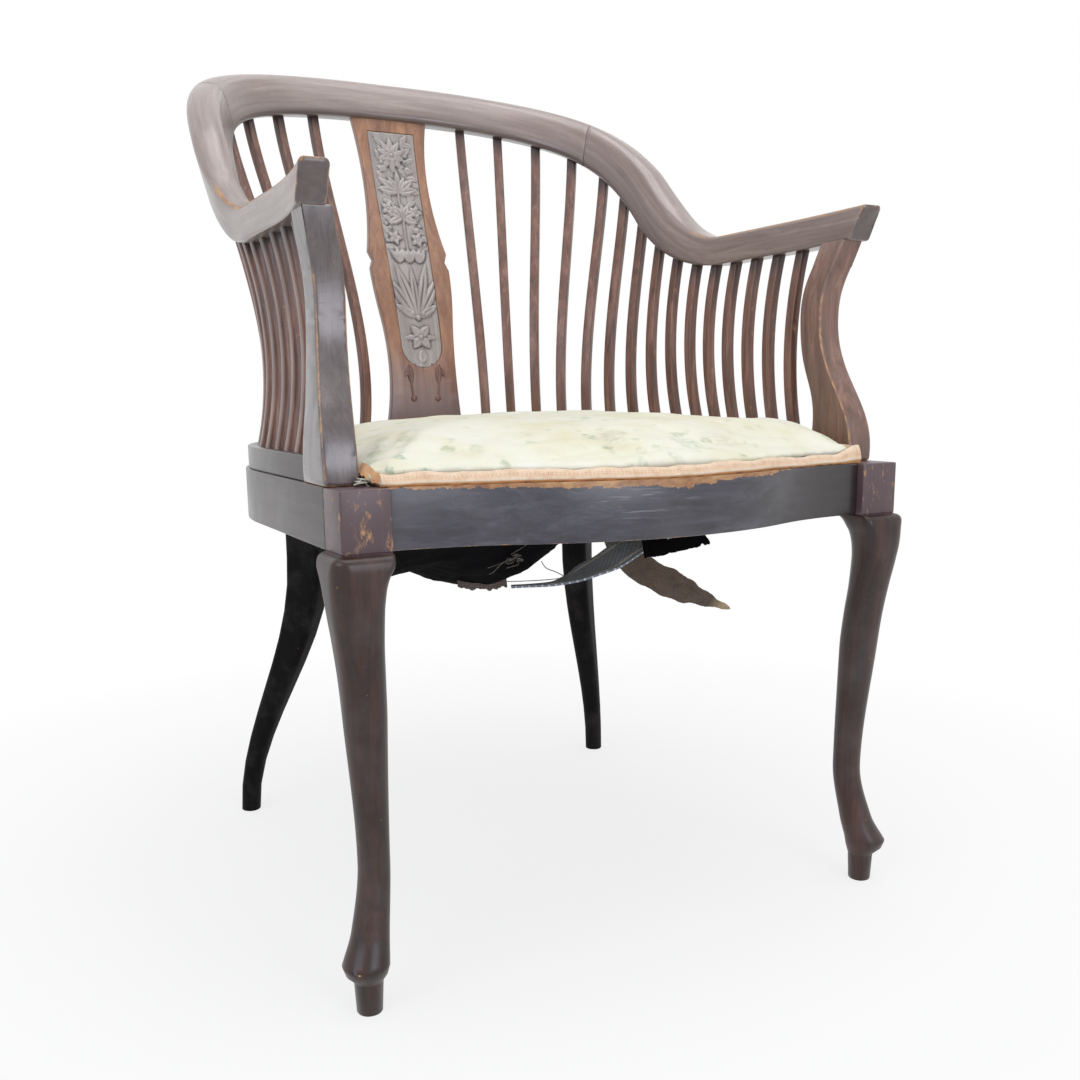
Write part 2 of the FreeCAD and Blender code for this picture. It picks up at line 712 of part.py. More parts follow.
def make_spindle(side, node, foot_along, top_along, bow):
    """Flat spindle sawn to an ogee, let into the spindle rail below and the crest above."""
    foot, foot_normal = horseshoe(bow_middle, dim.seat_straight, foot_along)
    top_normal = crest_place(top_along)[1]
    foot = foot + UP * (bow_top - dim.socket_depth)
    top = crest_seat(top_along) + crest_up(top_along) * dim.socket_depth
    normal = (foot_normal + top_normal).normalize()
    run = mirrored(top - foot, side)
    normal = mirrored(normal, side)
    lean = run.dot(normal)
    rise = run - normal * lean
    length = rise.Length
    rise.normalize()
    body = padded_body(node + "_body", "XZ_Plane",
                       ogee(lean, bow, length, dim.spindle_thickness / 2),
                       "sizes.spindle_width", side_type="Symmetric")
    turn = FreeCAD.Rotation(normal, rise.cross(normal), rise, "XZY")
    body.Placement = FreeCAD.Placement(mirrored(foot, side), turn)
    return body


def make_splat():
    """Vase splat: a bowed board cut to its outline, with a sunk panel for the carving."""
    foot_y = seat_centre.y + bow_middle - dim.splat_foot_in
    top_y = crest_seat(crest_half_length).y - dim.splat_top_in
    foot_z = bow_top - dim.socket_depth
    top_z = crest_under(crest_half_length) + dim.socket_depth
    lean = top_y - foot_y
    length = top_z - foot_z
    half = dim.splat_thickness / 2
    pull = 4 * dim.splat_bow / 3

    def face(offset):
        y = foot_y + offset
        return ((y, foot_z), (y - pull, foot_z + length / 3),
                (y + lean - pull, top_z - length / 3), (y + lean, top_z))

    def board(name, front, back, width):
        runs = (face(front), face(back), ((foot_y + front, foot_z), (foot_y + back, foot_z)),
                ((top_y + front, top_z), (top_y + back, top_z)))
        return padded_body(name, "YZ_Plane", outline(*runs), width, side_type="Symmetric")

    rise = crest_under(crest_half_length) - dim.seat_height
    waist = dim.seat_height + dim.splat_waist_share * rise
    nick = dim.seat_height + dim.splat_ear_share * rise
    neck = dim.seat_height + dim.splat_neck_share * rise
    ear = dim.splat_ear_half
    lobe = 2.5 * dim.splat_nick
    shoulder = (nick + waist) / 2
    shoulder_half = (ear + dim.splat_waist_half) / 2
    runs = []
    for side, word in SIDES:
        runs += [
            ((side * dim.splat_foot_half, foot_z), (side * dim.splat_foot_half, bow_top)),
            ((side * dim.splat_foot_half, bow_top), (side * dim.splat_waist_half, waist),
             (side * shoulder_half, shoulder)),
            ((side * shoulder_half, shoulder),
             (side * (ear - (ear - shoulder_half) * 0.3), (shoulder + nick - lobe) / 2),
             (side * ear, nick - lobe)),
            ((side * ear, nick - lobe), (side * (ear - dim.splat_nick), nick)),
            ((side * (ear - dim.splat_nick), nick), (side * ear, nick + lobe)),
            ((side * ear, nick + lobe), (side * dim.splat_neck_half, neck),
             (side * dim.splat_top_half, top_z)),
        ]
    runs.append(((-dim.splat_foot_half, foot_z), (dim.splat_foot_half, foot_z)))
    runs.append(((-dim.splat_top_half, top_z), (dim.splat_top_half, top_z)))
    far = f"{4 * top_y}"
    vase = padded_body("splat_vase", "XZ_Plane", outline(*runs), far, side_type="Symmetric")
    plank = board("splat_board", -half, half, "4 * sizes.splat_ear_half")
    sunk = board("splat_sunk", -3 * half, dim.panel_depth - half, "4 * sizes.splat_ear_half")
    panel_low = dim.seat_height + dim.panel_foot_share * rise
    panel_high = crest_under(crest_half_length) - dim.panel_margin
    low_half = dim.panel_foot_half
    high_half = dim.panel_top_half
    panel_runs = (
        ((-low_half, panel_low + low_half), (0, panel_low), (low_half, panel_low + low_half)),
        ((low_half, panel_low + low_half), (high_half, panel_high)),
        ((high_half, panel_high), (-high_half, panel_high)),
        ((-high_half, panel_high), (-low_half, panel_low + low_half)),
    )
    panel = padded_body("splat_panel", "XZ_Plane", outline(*panel_runs), far, side_type="Symmetric")
    return cut("splat_sunk_out", common("splat_blank", plank, vase), common("splat_recess", sunk, panel))


# Arm posts

def make_post(side, word, arm):
    """Shaped arm post: a side outline and a front outline sawn from one block, with its tenon."""
    foot_front = front_line + dim.post_front
    foot_back = front_line + post_back
    foot = dim.seat_height
    waist_front = foot_front + dim.post_waist_setback
    waist_back = waist_front + dim.post_waist_depth
    top_front = foot_front + dim.post_top_setback
    top_back = top_front + dim.post_top_depth
    joint = (top_front + top_back) / 2 - front_line
    top = crest_under(joint) + dim.arm_edge * 2
    waist = foot + dim.post_waist_share * (crest_under(joint) - foot)
    foot_rise = (waist - foot) * HANDLE
    plinth = foot + dim.bow_height * PLINTH
    top_rise = (top - waist) * HANDLE
    rake = top_rise * TOP_LEAN
    side_runs = (
        ((foot_front, foot), (foot_front, foot + foot_rise), (waist_front, waist - foot_rise),
         (waist_front, waist)),
        ((waist_front, waist), (waist_front, waist + top_rise), (top_front + rake, top - top_rise),
         (top_front, top)),
        ((top_front, top), (top_back, top)),
        ((top_back, top), (top_back + rake, top - top_rise), (waist_back, waist + top_rise),
         (waist_back, waist)),
        ((waist_back, waist), (waist_back, waist - foot_rise), (foot_back, plinth + foot_rise),
         (foot_back, plinth)),
        ((foot_back, plinth), (foot_back, foot)),
        ((foot_back, foot), (foot_front, foot)),
    )
    arm_x = crest_place(joint)[0].x
    outside = (post_outside, post_outside - dim.post_waist_in, arm_x + dim.arm_width / 2)
    inside = (post_outside - dim.post_foot_width, outside[1] - dim.post_waist_width,
              arm_x - dim.arm_width / 2)

    def edge(low, mid, high):
        lean = (high - mid) * TOP_LEAN
        return (
            ((side * low, foot), (side * low, foot + foot_rise), (side * mid, waist - foot_rise),
             (side * mid, waist)),
            ((side * mid, waist), (side * mid, waist + top_rise), (side * (high - lean), top - top_rise),
             (side * high, top)),
        )

    front_runs = edge(*outside) + edge(*inside) + (
        ((side * outside[0], foot), (side * inside[0], foot)),
        ((side * outside[2], top), (side * inside[2], top)),
    )
    from_side = padded_body(f"{word}_post_side", "YZ_Plane", outline(*side_runs),
                            "4 * sizes.seat_half_width", side_type="Symmetric")
    from_front = padded_body(f"{word}_post_front", "XZ_Plane", outline(*front_runs),
                             f"{4 * abs(foot_front)}", side_type="Symmetric")
    shaped = cut(f"{word}_post_scribed", common(f"{word}_post_shape", from_side, from_front), arm)
    tenon_y = front_line + dim.leg_head + (post_back - dim.leg_head - dim.tenon_height) / 2
    low = V(side * post_middle - dim.tenon_thickness / 2, tenon_y, foot - dim.post_tenon)
    tenon = box(f"{word}_post_tenon", low,
                ("sizes.tenon_thickness", "sizes.tenon_height", "sizes.post_tenon"))
    return fuse(f"{word}_post_blank", [shaped, tenon]), tenon


# Arms and crest

def make_horseshoe():
    """Arms and crest as one form, lofted from one arm's end round the back to the other."""
    wires = []
    for step in range(-CREST_STEPS, CREST_STEPS + 1):
        side = -1 if step < 0 else 1
        share = 1 - abs(step) / CREST_STEPS
        tip = dim.arm_tip - dim.tip_rake / 2
        along = tip + (crest_half_length - tip) * share
        middle, normal = crest_place(along)
        width, height, upper, lower = crest_sizes(along)
        wires.append(rounded_section(mirrored(middle, side), mirrored(normal, side),
                                     mirrored(crest_up(along), side), width, height, upper, lower))
    return loft(wires)


def tip_trim():
    """Wedge ahead of the arms that cuts their ends to a rake."""
    middle = crest_place(dim.arm_tip)[0]
    lean = dim.tip_rake / dim.arm_thickness
    far = 2 * dim.arm_thickness
    low = (middle.y + far * lean, middle.z - far)
    high = (middle.y - far * lean, middle.z + far)
    ahead = middle.y - 4 * far
    runs = ((low, high), (high, (ahead, middle.z + far)),
            ((ahead, middle.z + far), (ahead, middle.z - far)), ((ahead, middle.z - far), low))
    return padded_body("tip_trim", "YZ_Plane", outline(*runs), "4 * sizes.seat_half_width",
                       side_type="Symmetric")


def crest_wedge(along):
    """Upright wedge behind two planes across the crest, which parts the crest from the arms."""
    normal = crest_place(along)[1]
    far = 2 * dim.crest_half_width
    right = crest_centre + normal * far
    left = mirrored(right, -1)
    back = V(0, 2 * far, 0)
    corners = [crest_centre, right, right + back, left + back, left, crest_centre]
    face = Part.Face(Part.makePolygon(corners))
    return face.extrude(UP * (dim.crest_height + dim.crest_thickness))


def make_crest_dowels(along):
    """Two dowels across each joint between an arm and the crest."""
    rods = []
    middle, normal = crest_place(along)
    step = 1.0
    run = crest_place(along + step)[0] - crest_place(along - step)[0]
    for side, word in SIDES:
        for offset in (-0.5, 0.5):
            place = mirrored(middle, side) + UP * (offset * dim.dowel_pitch)
            rods.append(dowel(f"crest_dowel_{word}_{len(rods)}", place, mirrored(run, side)))
    return rods


def make_post_dowels():
    """One upright dowel between each arm post and its arm."""
    along = dim.post_front + dim.post_top_setback + dim.post_top_depth / 2
    middle = crest_place(along)[0]
    return [dowel(f"post_dowel_{word}", V(side * middle.x, middle.y, crest_under(along)), V(UP))
            for side, word in SIDES]


# Corner blocks and their screws

def make_corner_block(side, word, front_rail):
    """Glued and screwed block across a front corner, scribed to the front rail."""
    x = side * rail_inside
    y = front_line + dim.leg_head
    reach = dim.corner_leg
    front = front_line + dim.front_setback
    runs = (
        ((x, y), (x, y + reach)),
        ((x, y + reach), (x - side * reach, y)),
        ((x - side * reach, y), (x - side * reach, front)),
        ((x - side * reach, front), (x, front)),
        ((x, front), (x, y)),
    )
    body = padded_body(f"front_{word}_corner_body", "XY_Plane", outline(*runs), "sizes.corner_height",
                       "sizes.seat_height - (sizes.rail_height + sizes.corner_height) / 2")
    return cut(f"front_{word}_corner_scribed", body, front_rail)


def make_screw(name, head, along):
    """Countersunk wood screw: a plain shank under a cone."""
    shank = Part.makeCylinder(dim.screw_diameter / 2, dim.screw_length, head, along)
    depth = (dim.screw_head - dim.screw_diameter) / 2
    cone = Part.makeCone(dim.screw_head / 2, dim.screw_diameter / 2, depth, head, along)
    return feature(name, shank.fuse(cone).removeSplitter())


def make_screws():
    """Two screws through each corner block, one into each rail, and the holes their heads sink in."""
    screws = []
    holes = []
    level = dim.seat_height - dim.rail_height / 2
    near = 0.3 * dim.corner_leg
    far = 0.5 * dim.corner_leg
    for side, word in SIDES:
        corner = V(side * rail_inside, front_line + dim.leg_head, level)
        for way, head, along in (
            ("side", corner + V(-side * near, far, 0), V(side, 0, 0)),
            ("front", corner + V(-side * far, near, 0), V(0, -1, 0)),
        ):
            screws.append(make_screw(f"{word}_{way}_screw", head, along))
            hole = Part.makeCylinder(dim.screw_head / 2, dim.corner_leg, head, along * -1)
            holes.append(feature(f"{word}_{way}_hole", hole))
    return screws, holes


# Seat upholstery

def seat_outline(scale):
    """Outline of the stuffed seat, scaled about its middle: front arcs, sides and round back."""
    half = bow_inside - dim.cover_clearance
    front = serpentine(dim.cover_setback)
    left_end = V(*front[0][0])
    right_end = V(*front[-1][-1])
    corner = V(half, front_line + dim.cover_corner, 0)
    middle = V(0, seat_centre.y, 0)
    runs = list(front)
    runs.append((right_end, corner))
    runs.append((corner, V(half, seat_centre.y, 0)))
    runs.append((V(half, seat_centre.y, 0), seat_circle(half, 45, 1), seat_circle(half, 0, 1)))
    runs.append((seat_circle(half, 0, 1), seat_circle(half, 45, -1), V(-half, seat_centre.y, 0)))
    runs.append((V(-half, seat_centre.y, 0), mirrored(corner, -1)))
    runs.append((mirrored(corner, -1), left_end))
    return outline(*[[middle + (V(*point) - middle) * scale for point in run] for run in runs])


def seat_wire(scale, level):
    wire = Part.Wire([edge.toShape() for edge in seat_outline(scale)])
    wire.translate(UP * level)
    return wire


def seat_dome(inset, drop):
    """Domed pad with drawn-in sides, smaller all round by inset and lower by drop."""
    half = bow_inside - dim.cover_clearance
    rows = [(SEAT_BASE, 0)]
    for step in range(DOME_STEPS + 1):
        angle = math.pi / 2 * step / DOME_STEPS
        rise = (dim.cover_crown - dim.cover_side) * math.sin(angle)
        rows.append((SEAT_TABLE + (1 - SEAT_TABLE) * math.cos(angle), dim.cover_side + rise - drop))
    wires = [seat_wire(scale - inset / half, dim.seat_height + height) for scale, height in rows]
    return loft(wires)


def make_seat():
    """Cover, stuffing, hessian, webbing and the braid along the front."""
    outer = feature("cover_outer", seat_dome(0, 0))
    hollow = feature("cover_hollow", seat_dome(dim.cover_thickness, dim.cover_thickness))
    cover = cut("cover_shell", outer, hollow)
    wide = 4 * dim.seat_half_width
    below = doc.addObject("Part::Box", "under_stuffing")
    below.Length = wide
    below.Width = wide
    below.setExpression("Height", "2 * sizes.webbing_thickness + sizes.hessian_thickness")
    below.Placement.Base = V(-wide / 2, -wide / 2, dim.seat_height)
    stuffing = cut("stuffing_form", hollow, below)
    half = bow_inside - dim.cover_clearance
    hessian_scale = SEAT_BASE - 2 * dim.cover_thickness / half
    hessian = padded_body("seat_hessian_body", "XY_Plane", seat_outline(hessian_scale),
                          "sizes.hessian_thickness", "sizes.seat_height + 2 * sizes.webbing_thickness")
    straps = make_webbing(half - dim.webbing_margin)
    near = serpentine(dim.cover_setback - dim.braid_thickness)
    far = serpentine(dim.cover_setback)
    runs = near + far + ((near[0][0], far[0][0]), (near[-1][-1], far[-1][-1]))
    braid = padded_body("seat_braid_body", "XY_Plane", outline(*runs), "sizes.braid_height",
                        "sizes.seat_height")
    finish(cover, "seat_cover")
    finish(stuffing, "seat_stuffing")
    finish(hessian, "seat_hessian")
    finish(compound("webbing_straps", straps), "seat_webbing")
    finish(braid, "seat_braid")


def make_webbing(reach):
    """Straps tacked to the tops of the rails, the cross straps over the long ones."""
    straps = []
    half = dim.webbing_width / 2
    front = front_line + dim.front_setback + dim.front_rail_ends / 2
    for number in range(STRAPS_EACH_WAY):
        place = (number - (STRAPS_EACH_WAY - 1) / 2) * dim.webbing_pitch
        back = seat_centre.y + math.sqrt(reach ** 2 - (abs(place) + half) ** 2)
        strap = box(f"long_strap_{number}", V(place - half, front, dim.seat_height),
                    ("sizes.webbing_width", f"{back - front}", "sizes.webbing_thickness"))
        straps.append(strap)
        y = seat_centre.y - dim.webbing_pitch / 2 + place
        beyond = max(y + half - seat_centre.y, 0)
        end = math.sqrt(reach ** 2 - beyond ** 2)
        strap = box(f"cross_strap_{number}", V(-end, y - half, dim.seat_height + dim.webbing_thickness),
                    (f"{2 * end}", "sizes.webbing_width", "sizes.webbing_thickness"))
        straps.append(strap)
    return straps


# Torn cloth under the seat

def ribbon(points, thickness):
    """Closed thin section through points taken in threes as arcs, thick downwards."""
    down = V(0, 0, -thickness)
    runs = []
    for first in range(0, len(points) - 1, 2):
        runs.append(points[first:first + 3])
    lower = [[point + down for point in run] for run in runs]
    ends = [(points[-1], points[-1] + down)]
    back = [run[::-1] for run in lower[::-1]]
    edges = outline(*runs, *ends, *back, (points[0] + down, points[0]))
    return Part.Wire([edge.toShape() for edge in edges])


def make_dust_cover(leg):
    """Torn dust cover: tacked under the front and left rails, cut round the leg, in two bellies."""
    left = -(dim.seat_half_width - dim.rail_depth / 2)
    front = front_line + dim.front_setback + dim.front_rail_ends / 2
    reach = dim.dust_reach - dim.front_rail_ends
    wires = []
    stations = (
        (0, 0.02, 0.72),
        (0.1, 0.06, 0.72),
        (0.32, 0.72, 0.7),
        (0.55, 1, 0.62),
        (0.8, 0.8, 0.55),
        (1, 0.6, 0.45),
    )
    for share, sag, width in through(stations, CLOTH_STEPS):
        y = front + share * reach
        drop = sag * dim.dust_sag
        right = left + width * dim.seat_half_width
        span = right - left
        ridge = left + 0.45 * span
        points = [
            V(left, y, rail_bottom),
            V(left + 0.22 * span, y, rail_bottom - 0.75 * drop),
            V(ridge, y, rail_bottom - 0.6 * drop),
            V(ridge + 0.33 * span, y, rail_bottom - drop),
            V(right, y, rail_bottom - 0.55 * drop),
        ]
        wires.append(ribbon(points, dim.cloth_thickness))
    return cut("dust_cover_cut", feature("dust_cover_form", loft(wires)), leg)


def strip(name, stations, width_way, thickness):
    """A hanging strip: rows of its turn in the run, the middle's place, the width and its cupping."""
    wires = []
    for turn, x, y, z, width, cup in through(stations, CLOTH_STEPS):
        middle = V(x, y, z)
        half = width_way * (width / 2)
        wires.append(ribbon([middle - half, middle - UP * cup, middle + half], thickness))
    return feature(name, loft(wires))


def make_loose_strap():
    """Webbing strap that has come away and hangs in a bight under the front rail."""
    front = front_line + dim.front_setback + dim.front_rail_ends / 2
    width = dim.webbing_width
    drop = dim.strap_drop
    stations = (
        (0, 90, front, rail_bottom, width, 0.4),
        (1, 62, front + 4, rail_bottom, width, 0.4),
        (2, 20, front + 30, rail_bottom - 0.55 * drop, width, 2),
        (3, -34, front + 52, rail_bottom - drop, width, 3),
        (4, -100, front + 60, rail_bottom - 0.96 * drop, width, 3),
        (5, -150, front + 62, rail_bottom - 0.74 * drop, width, 2),
    )
    return strip("loose_strap_form", stations, V(0.15, 1, 0).normalize(), dim.webbing_thickness)


def make_tail():
    """Ragged strip of hessian that hangs from the webbing and ends in a point."""
    front = front_line + dim.front_setback + dim.front_rail_ends
    drop = dim.tail_drop
    stations = (
        (0, -12, front + 78, dim.seat_height, 44, 0.4),
        (1, 6, front + 76, dim.seat_height - 40, 50, 3),
        (2, 40, front + 72, rail_bottom - 0.45 * drop, 54, 6),
        (3, 95, front + 68, rail_bottom - 0.68 * drop, 40, 5),
        (4, 156, front + 66, rail_bottom - drop, 5, 0.5),
    )
    return strip("tail_form", stations, V(-0.2, 1, 0.2).normalize(), dim.cloth_thickness)


# Assembly

places = spindle_places()
spindles = []
for side, word in SIDES:
    for number, (foot_along, top_along) in enumerate(places, start=1):
        node = f"{word}_spindle_{number:02d}"
        bow = dim.side_bow + (dim.back_bow - dim.side_bow) * (number - 1) / (SPINDLES_A_SIDE - 1)
        spindles.append(finish(make_spindle(side, node, foot_along, top_along, bow), node))
splat = finish(make_splat(), "back_splat")

scarf = (places[SHOULDER_SPINDLE][1] + places[SHOULDER_SPINDLE + 1][1]) / 2
post_dowels = make_post_dowels()
crest_dowels = make_crest_dowels(scarf)
rail_dowels = make_rail_dowels()
dowels = finish(compound("joint_dowels", rail_dowels + crest_dowels + post_dowels), "dowels")

horseshoe_form = cut("horseshoe_form", feature("horseshoe_blank", make_horseshoe()), tip_trim())
wedge = feature("crest_wedge", crest_wedge(scarf))
crest_form = common("crest_form", horseshoe_form, wedge)
in_crest = [body for body, place in zip(spindles, 2 * places) if place[1] > scarf]
crest_cuts = compound("crest_bores", in_crest + [splat] + crest_dowels)
finish(cut("crest_rail_bored", crest_form, crest_cuts), "crest_rail")
joint = SPINDLES_A_SIDE // 2
joint_along = (places[joint][0] + places[joint + 1][0]) / 2
joint_degrees = 90 - math.degrees((joint_along - dim.seat_straight) / bow_middle)
bows = make_bow_pieces(joint_degrees)
in_back_bow = [body for body, place in zip(spindles, 2 * places) if place[0] > joint_along]
back_bow_cuts = compound("back_bow_bores", in_back_bow + [splat])
finish(cut("back_bow_bored", bows["back"], back_bow_cuts), "back_spindle_rail")
for number, (side, word) in enumerate(SIDES):
    own = spindles[number * SPINDLES_A_SIDE:(number + 1) * SPINDLES_A_SIDE]
    in_arm = [body for body, place in zip(own, places) if place[1] < scarf]
    in_bow = [body for body, place in zip(own, places) if place[0] < joint_along]
    far = 2 * dim.crest_half_width
    half_sizes = ("2 * sizes.crest_half_width", "8 * sizes.crest_half_width", "2 * sizes.crest_height")
    half_space = box(f"{word}_half", V(min(0, side * far), -2 * far, 0), half_sizes)
    arm_half = common(f"{word}_arm_half", horseshoe_form, half_space)
    arm_form = cut(f"{word}_arm_form", arm_half, wedge)
    arm_cuts = compound(f"{word}_arm_bores", in_arm + crest_dowels + post_dowels)
    finish(cut(f"{word}_arm_bored", arm_form, arm_cuts), f"{word}_arm")
    bow_cuts = compound(f"{word}_bow_bores", in_bow)
    finish(cut(f"{word}_bow_bored", bows[word], bow_cuts), f"{word}_spindle_rail")

front_rail, front_tenons = make_front_rail()
screws, screw_holes = make_screws()
screw_group = finish(compound("corner_screws", screws), "corner_block_screws")
finish(cut("front_rail_bored", front_rail, screw_group), "front_rail")
front_legs = []
back_rail = make_back_rail()
finish(cut("back_rail_bored", back_rail, compound("back_rail_dowels", rail_dowels)), "back_rail")
for number, (side, word) in enumerate(SIDES):
    side_rail, side_tenon = make_side_rail(side, word)
    post, post_tenon = make_post(side, word, horseshoe_form)
    finish(cut(f"{word}_post_bored", post, compound(f"{word}_post_bore", post_dowels)), f"{word}_arm_post")
    rail_cuts = compound(f"{word}_rail_cuts", rail_dowels + [post_tenon, screw_group])
    finish(cut(f"{word}_side_rail_bored", side_rail, rail_cuts), f"{word}_side_rail")
    mortises = compound(f"{word}_mortises", [front_tenons[number], side_tenon])
    front_legs.append(cut(f"front_{word}_leg_cut", make_front_leg(side, word), mortises))
    finish(front_legs[-1], f"front_{word}_leg")
    rear_bores = compound(f"{word}_rear_bores", rail_dowels)
    finish(cut(f"rear_{word}_leg_cut", make_rear_leg(side, word), rear_bores), f"rear_{word}_leg")
    block = make_corner_block(side, word, front_rail)
    block_cuts = compound(f"{word}_block_cuts", screws + screw_holes)
    finish(cut(f"front_{word}_corner_bored", block, block_cuts), f"front_{word}_corner_block")

make_seat()
finish(make_dust_cover(front_legs[0]), "dust_cover")
finish(make_loose_strap(), "loose_webbing_strap")
finish(make_tail(), "torn_hessian_tail")

# Checks and files

doc.recompute()
for thing in doc.Objects:
    if "Invalid" in thing.State or "Error" in thing.State:
        raise RuntimeError(f"{thing.Name} failed: {thing.State}")
for node in nodes:
    if node.Shape.isNull() or not node.Shape.isValid():
        raise RuntimeError(f"{node.Label} has no valid shape")
    if not node.Shape.Solids:
        raise RuntimeError(f"{node.Label} has no solid")

os.makedirs("parts", exist_ok=True)
for node in nodes:
    node.Shape.exportStep(f"parts/{node.Label}.step")
print(len(nodes), "nodes written")
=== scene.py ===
import math
from functools import partial

import bmesh
import bpy
import numpy as np
from mathutils import Matrix, Vector
from mathutils.bvhtree import BVHTree


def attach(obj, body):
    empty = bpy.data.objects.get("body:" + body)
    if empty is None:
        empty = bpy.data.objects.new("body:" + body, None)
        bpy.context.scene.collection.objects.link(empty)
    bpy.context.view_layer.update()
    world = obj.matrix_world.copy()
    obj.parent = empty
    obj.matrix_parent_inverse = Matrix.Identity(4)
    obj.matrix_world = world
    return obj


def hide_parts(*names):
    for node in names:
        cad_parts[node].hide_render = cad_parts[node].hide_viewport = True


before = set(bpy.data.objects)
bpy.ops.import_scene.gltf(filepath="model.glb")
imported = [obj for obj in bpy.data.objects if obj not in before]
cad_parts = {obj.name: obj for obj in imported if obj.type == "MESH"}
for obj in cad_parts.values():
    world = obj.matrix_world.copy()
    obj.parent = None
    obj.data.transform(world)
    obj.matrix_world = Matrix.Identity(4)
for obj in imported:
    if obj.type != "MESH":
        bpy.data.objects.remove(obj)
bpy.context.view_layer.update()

# A worn bow-back tub armchair in dark mahogany, dressed round its CAD frame. Metres, front towards -Y.
# Places on the chair, as the CAD frame has them
MM = 0.001
FRONT_LINE = -288.5 * MM
SEAT_TOP = 415 * MM
RAIL_UNDER = 367.5 * MM
POST_HEAD = 597 * MM
POST_TOP = 621 * MM
SEAT_CENTRE = -38.5 * MM
SEAT_HALF = 241.5 * MM
SIDES = ((-1, "left"), (1, "right"))
rng = np.random.default_rng(1907)


# Leaves of the print that kept their colour: place in millimetres, turn in degrees, length and breadth
# in millimetres, tint and strength
KEPT_LEAVES = ((-216, -263, 60, 15, 9, "#7fa58c", 0.75), (-203, -250, -20, 14, 8, "#8db09a", 0.7),
               (-187, -266, -35, 13, 8, "#86ad93", 0.65), (-205, -268, 10, 9, 6, "#9db69c", 0.5),
               (-228, -240, 20, 22, 8, "#bcc4a6", 0.4), (-190, -222, -30, 26, 7, "#c3caad", 0.35),
               (125, -262, 15, 18, 6, "#b9bd92", 0.45), (20, -287, 5, 30, 6, "#cfcd92", 0.4))
# Hem, in metres
HEM_LENGTH = 0.53
HEM_WIDTH = 0.015
# Bare strip along the front rail: places across and depths below the seat's top, in millimetres
TORN_PLACES = (-232, -200, -130, -70, -30, 0, 25, 50, 105, 125, 140)
TORN_DEPTHS = (1.5, 2.0, 3.5, 4.5, 4.5, 7.5, 6.5, 3.0, 3.0, 0.5, -4.0)


# Small tools

def colour(text):
    """An sRGB hex value as linear red, green, blue and alpha."""
    parts = [int(text[i:i + 2], 16) / 255 for i in (1, 3, 5)]
    linear = [c / 12.92 if c <= 0.04045 else ((c + 0.055) / 1.055) ** 2.4 for c in parts]
    return (*linear, 1)


def node(tree, kind, inputs=None, out=0, stops=(), **settings):
    """Add a node with its settings, values, links and ramp, and give one of its outputs."""
    made = tree.nodes.new("ShaderNode" + kind)
    for key, value in settings.items():
        setattr(made, key, value)
    for key, value in (inputs or {}).items():
        if isinstance(value, bpy.types.NodeSocket):
            tree.links.new(value, made.inputs[key])
        else:
            made.inputs[key].default_value = value
    if stops:
        ramp = made.color_ramp.elements
        while len(ramp) < len(stops):
            ramp.new(1)
        for element, (place, tint) in zip(ramp, stops):
            element.position = place
            element.color = colour(tint)
    return made.outputs[out] if made.outputs else made


def span(value, low, high, least=0, most=1):
    """Inputs that map a value from one range to another."""
    return {"Value": value, "From Min": low, "From Max": high, "To Min": least, "To Max": most}


# Settings of a node that mixes two colours
TINT = {"out": 2, "data_type": "RGBA"}


def new_material(name):
    """An empty material, and the way to add nodes to it."""
    material = bpy.data.materials.new(name)
    material.use_nodes = True
    material.node_tree.nodes.clear()
    return material, partial(node, material.node_tree)


def activate(piece):
    bpy.ops.object.select_all(action="DESELECT")
    piece.select_set(True)
    bpy.context.view_layer.objects.active = piece


def edit(piece):
    """Open a piece for editing, with all of it selected."""
    activate(piece)
    bpy.ops.object.mode_set(mode="EDIT")
    bpy.ops.mesh.select_all(action="SELECT")


def close():
    bpy.ops.object.mode_set(mode="OBJECT")


def join(pieces, name):
    """Make one piece of several."""
    bpy.ops.object.select_all(action="DESELECT")
    for piece in pieces:
        piece.select_set(True)
    bpy.context.view_layer.objects.active = pieces[0]
    bpy.ops.object.join()
    pieces[0].name = name
    return pieces[0]


def apply(piece, modifier):
    activate(piece)
    bpy.ops.object.modifier_apply(modifier=modifier.name)


def copy_of(cad_node, name):
    """A free copy of a CAD node's mesh, with its doubles merged."""
    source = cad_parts[cad_node]
    piece = source.copy()
    piece.data = source.data.copy()
    for key in list(piece.keys()):
        del piece[key]
    piece.parent = None
    piece.name = name
    bpy.context.scene.collection.objects.link(piece)
    piece.data.materials.clear()
    edit(piece)
    bpy.ops.mesh.remove_doubles(threshold=0.02 * MM)
    bpy.ops.mesh.customdata_custom_splitnormals_clear()
    close()
    return piece


def points_of(piece):
    found = np.empty(len(piece.data.vertices) * 3)
    piece.data.vertices.foreach_get("co", found)
    return found.reshape(-1, 3)


def place_points(piece, points):
    piece.data.vertices.foreach_set("co", np.asarray(points, float).ravel())
    piece.data.update()


def smooth_step(share):
    share = np.clip(share, 0, 1)
    return share * share * (3 - 2 * share)


def smooth_through(ends, values, share, steady=False):
    """A smooth curve through values at their ends, and a steady one never overshoots them."""
    slopes = np.gradient(values, ends)
    if steady:
        steps = np.diff(values) / np.diff(ends)
        product = steps[:-1] * steps[1:]
        total = np.where(product > 0, steps[:-1] + steps[1:], 1)
        slopes[1:-1] = np.where(product > 0, 2 * product / total, 0)
    index = np.clip(np.searchsorted(ends, share, side="right") - 1, 0, len(ends) - 2)
    reach = ends[index + 1] - ends[index]
    t = (share - ends[index]) / reach
    h = t * t * (3 - 2 * t)
    bow = t * (1 - t) ** 2 * reach * slopes[index] + t * t * (t - 1) * reach * slopes[index + 1]
    return values[index] * (1 - h) + values[index + 1] * h + bow


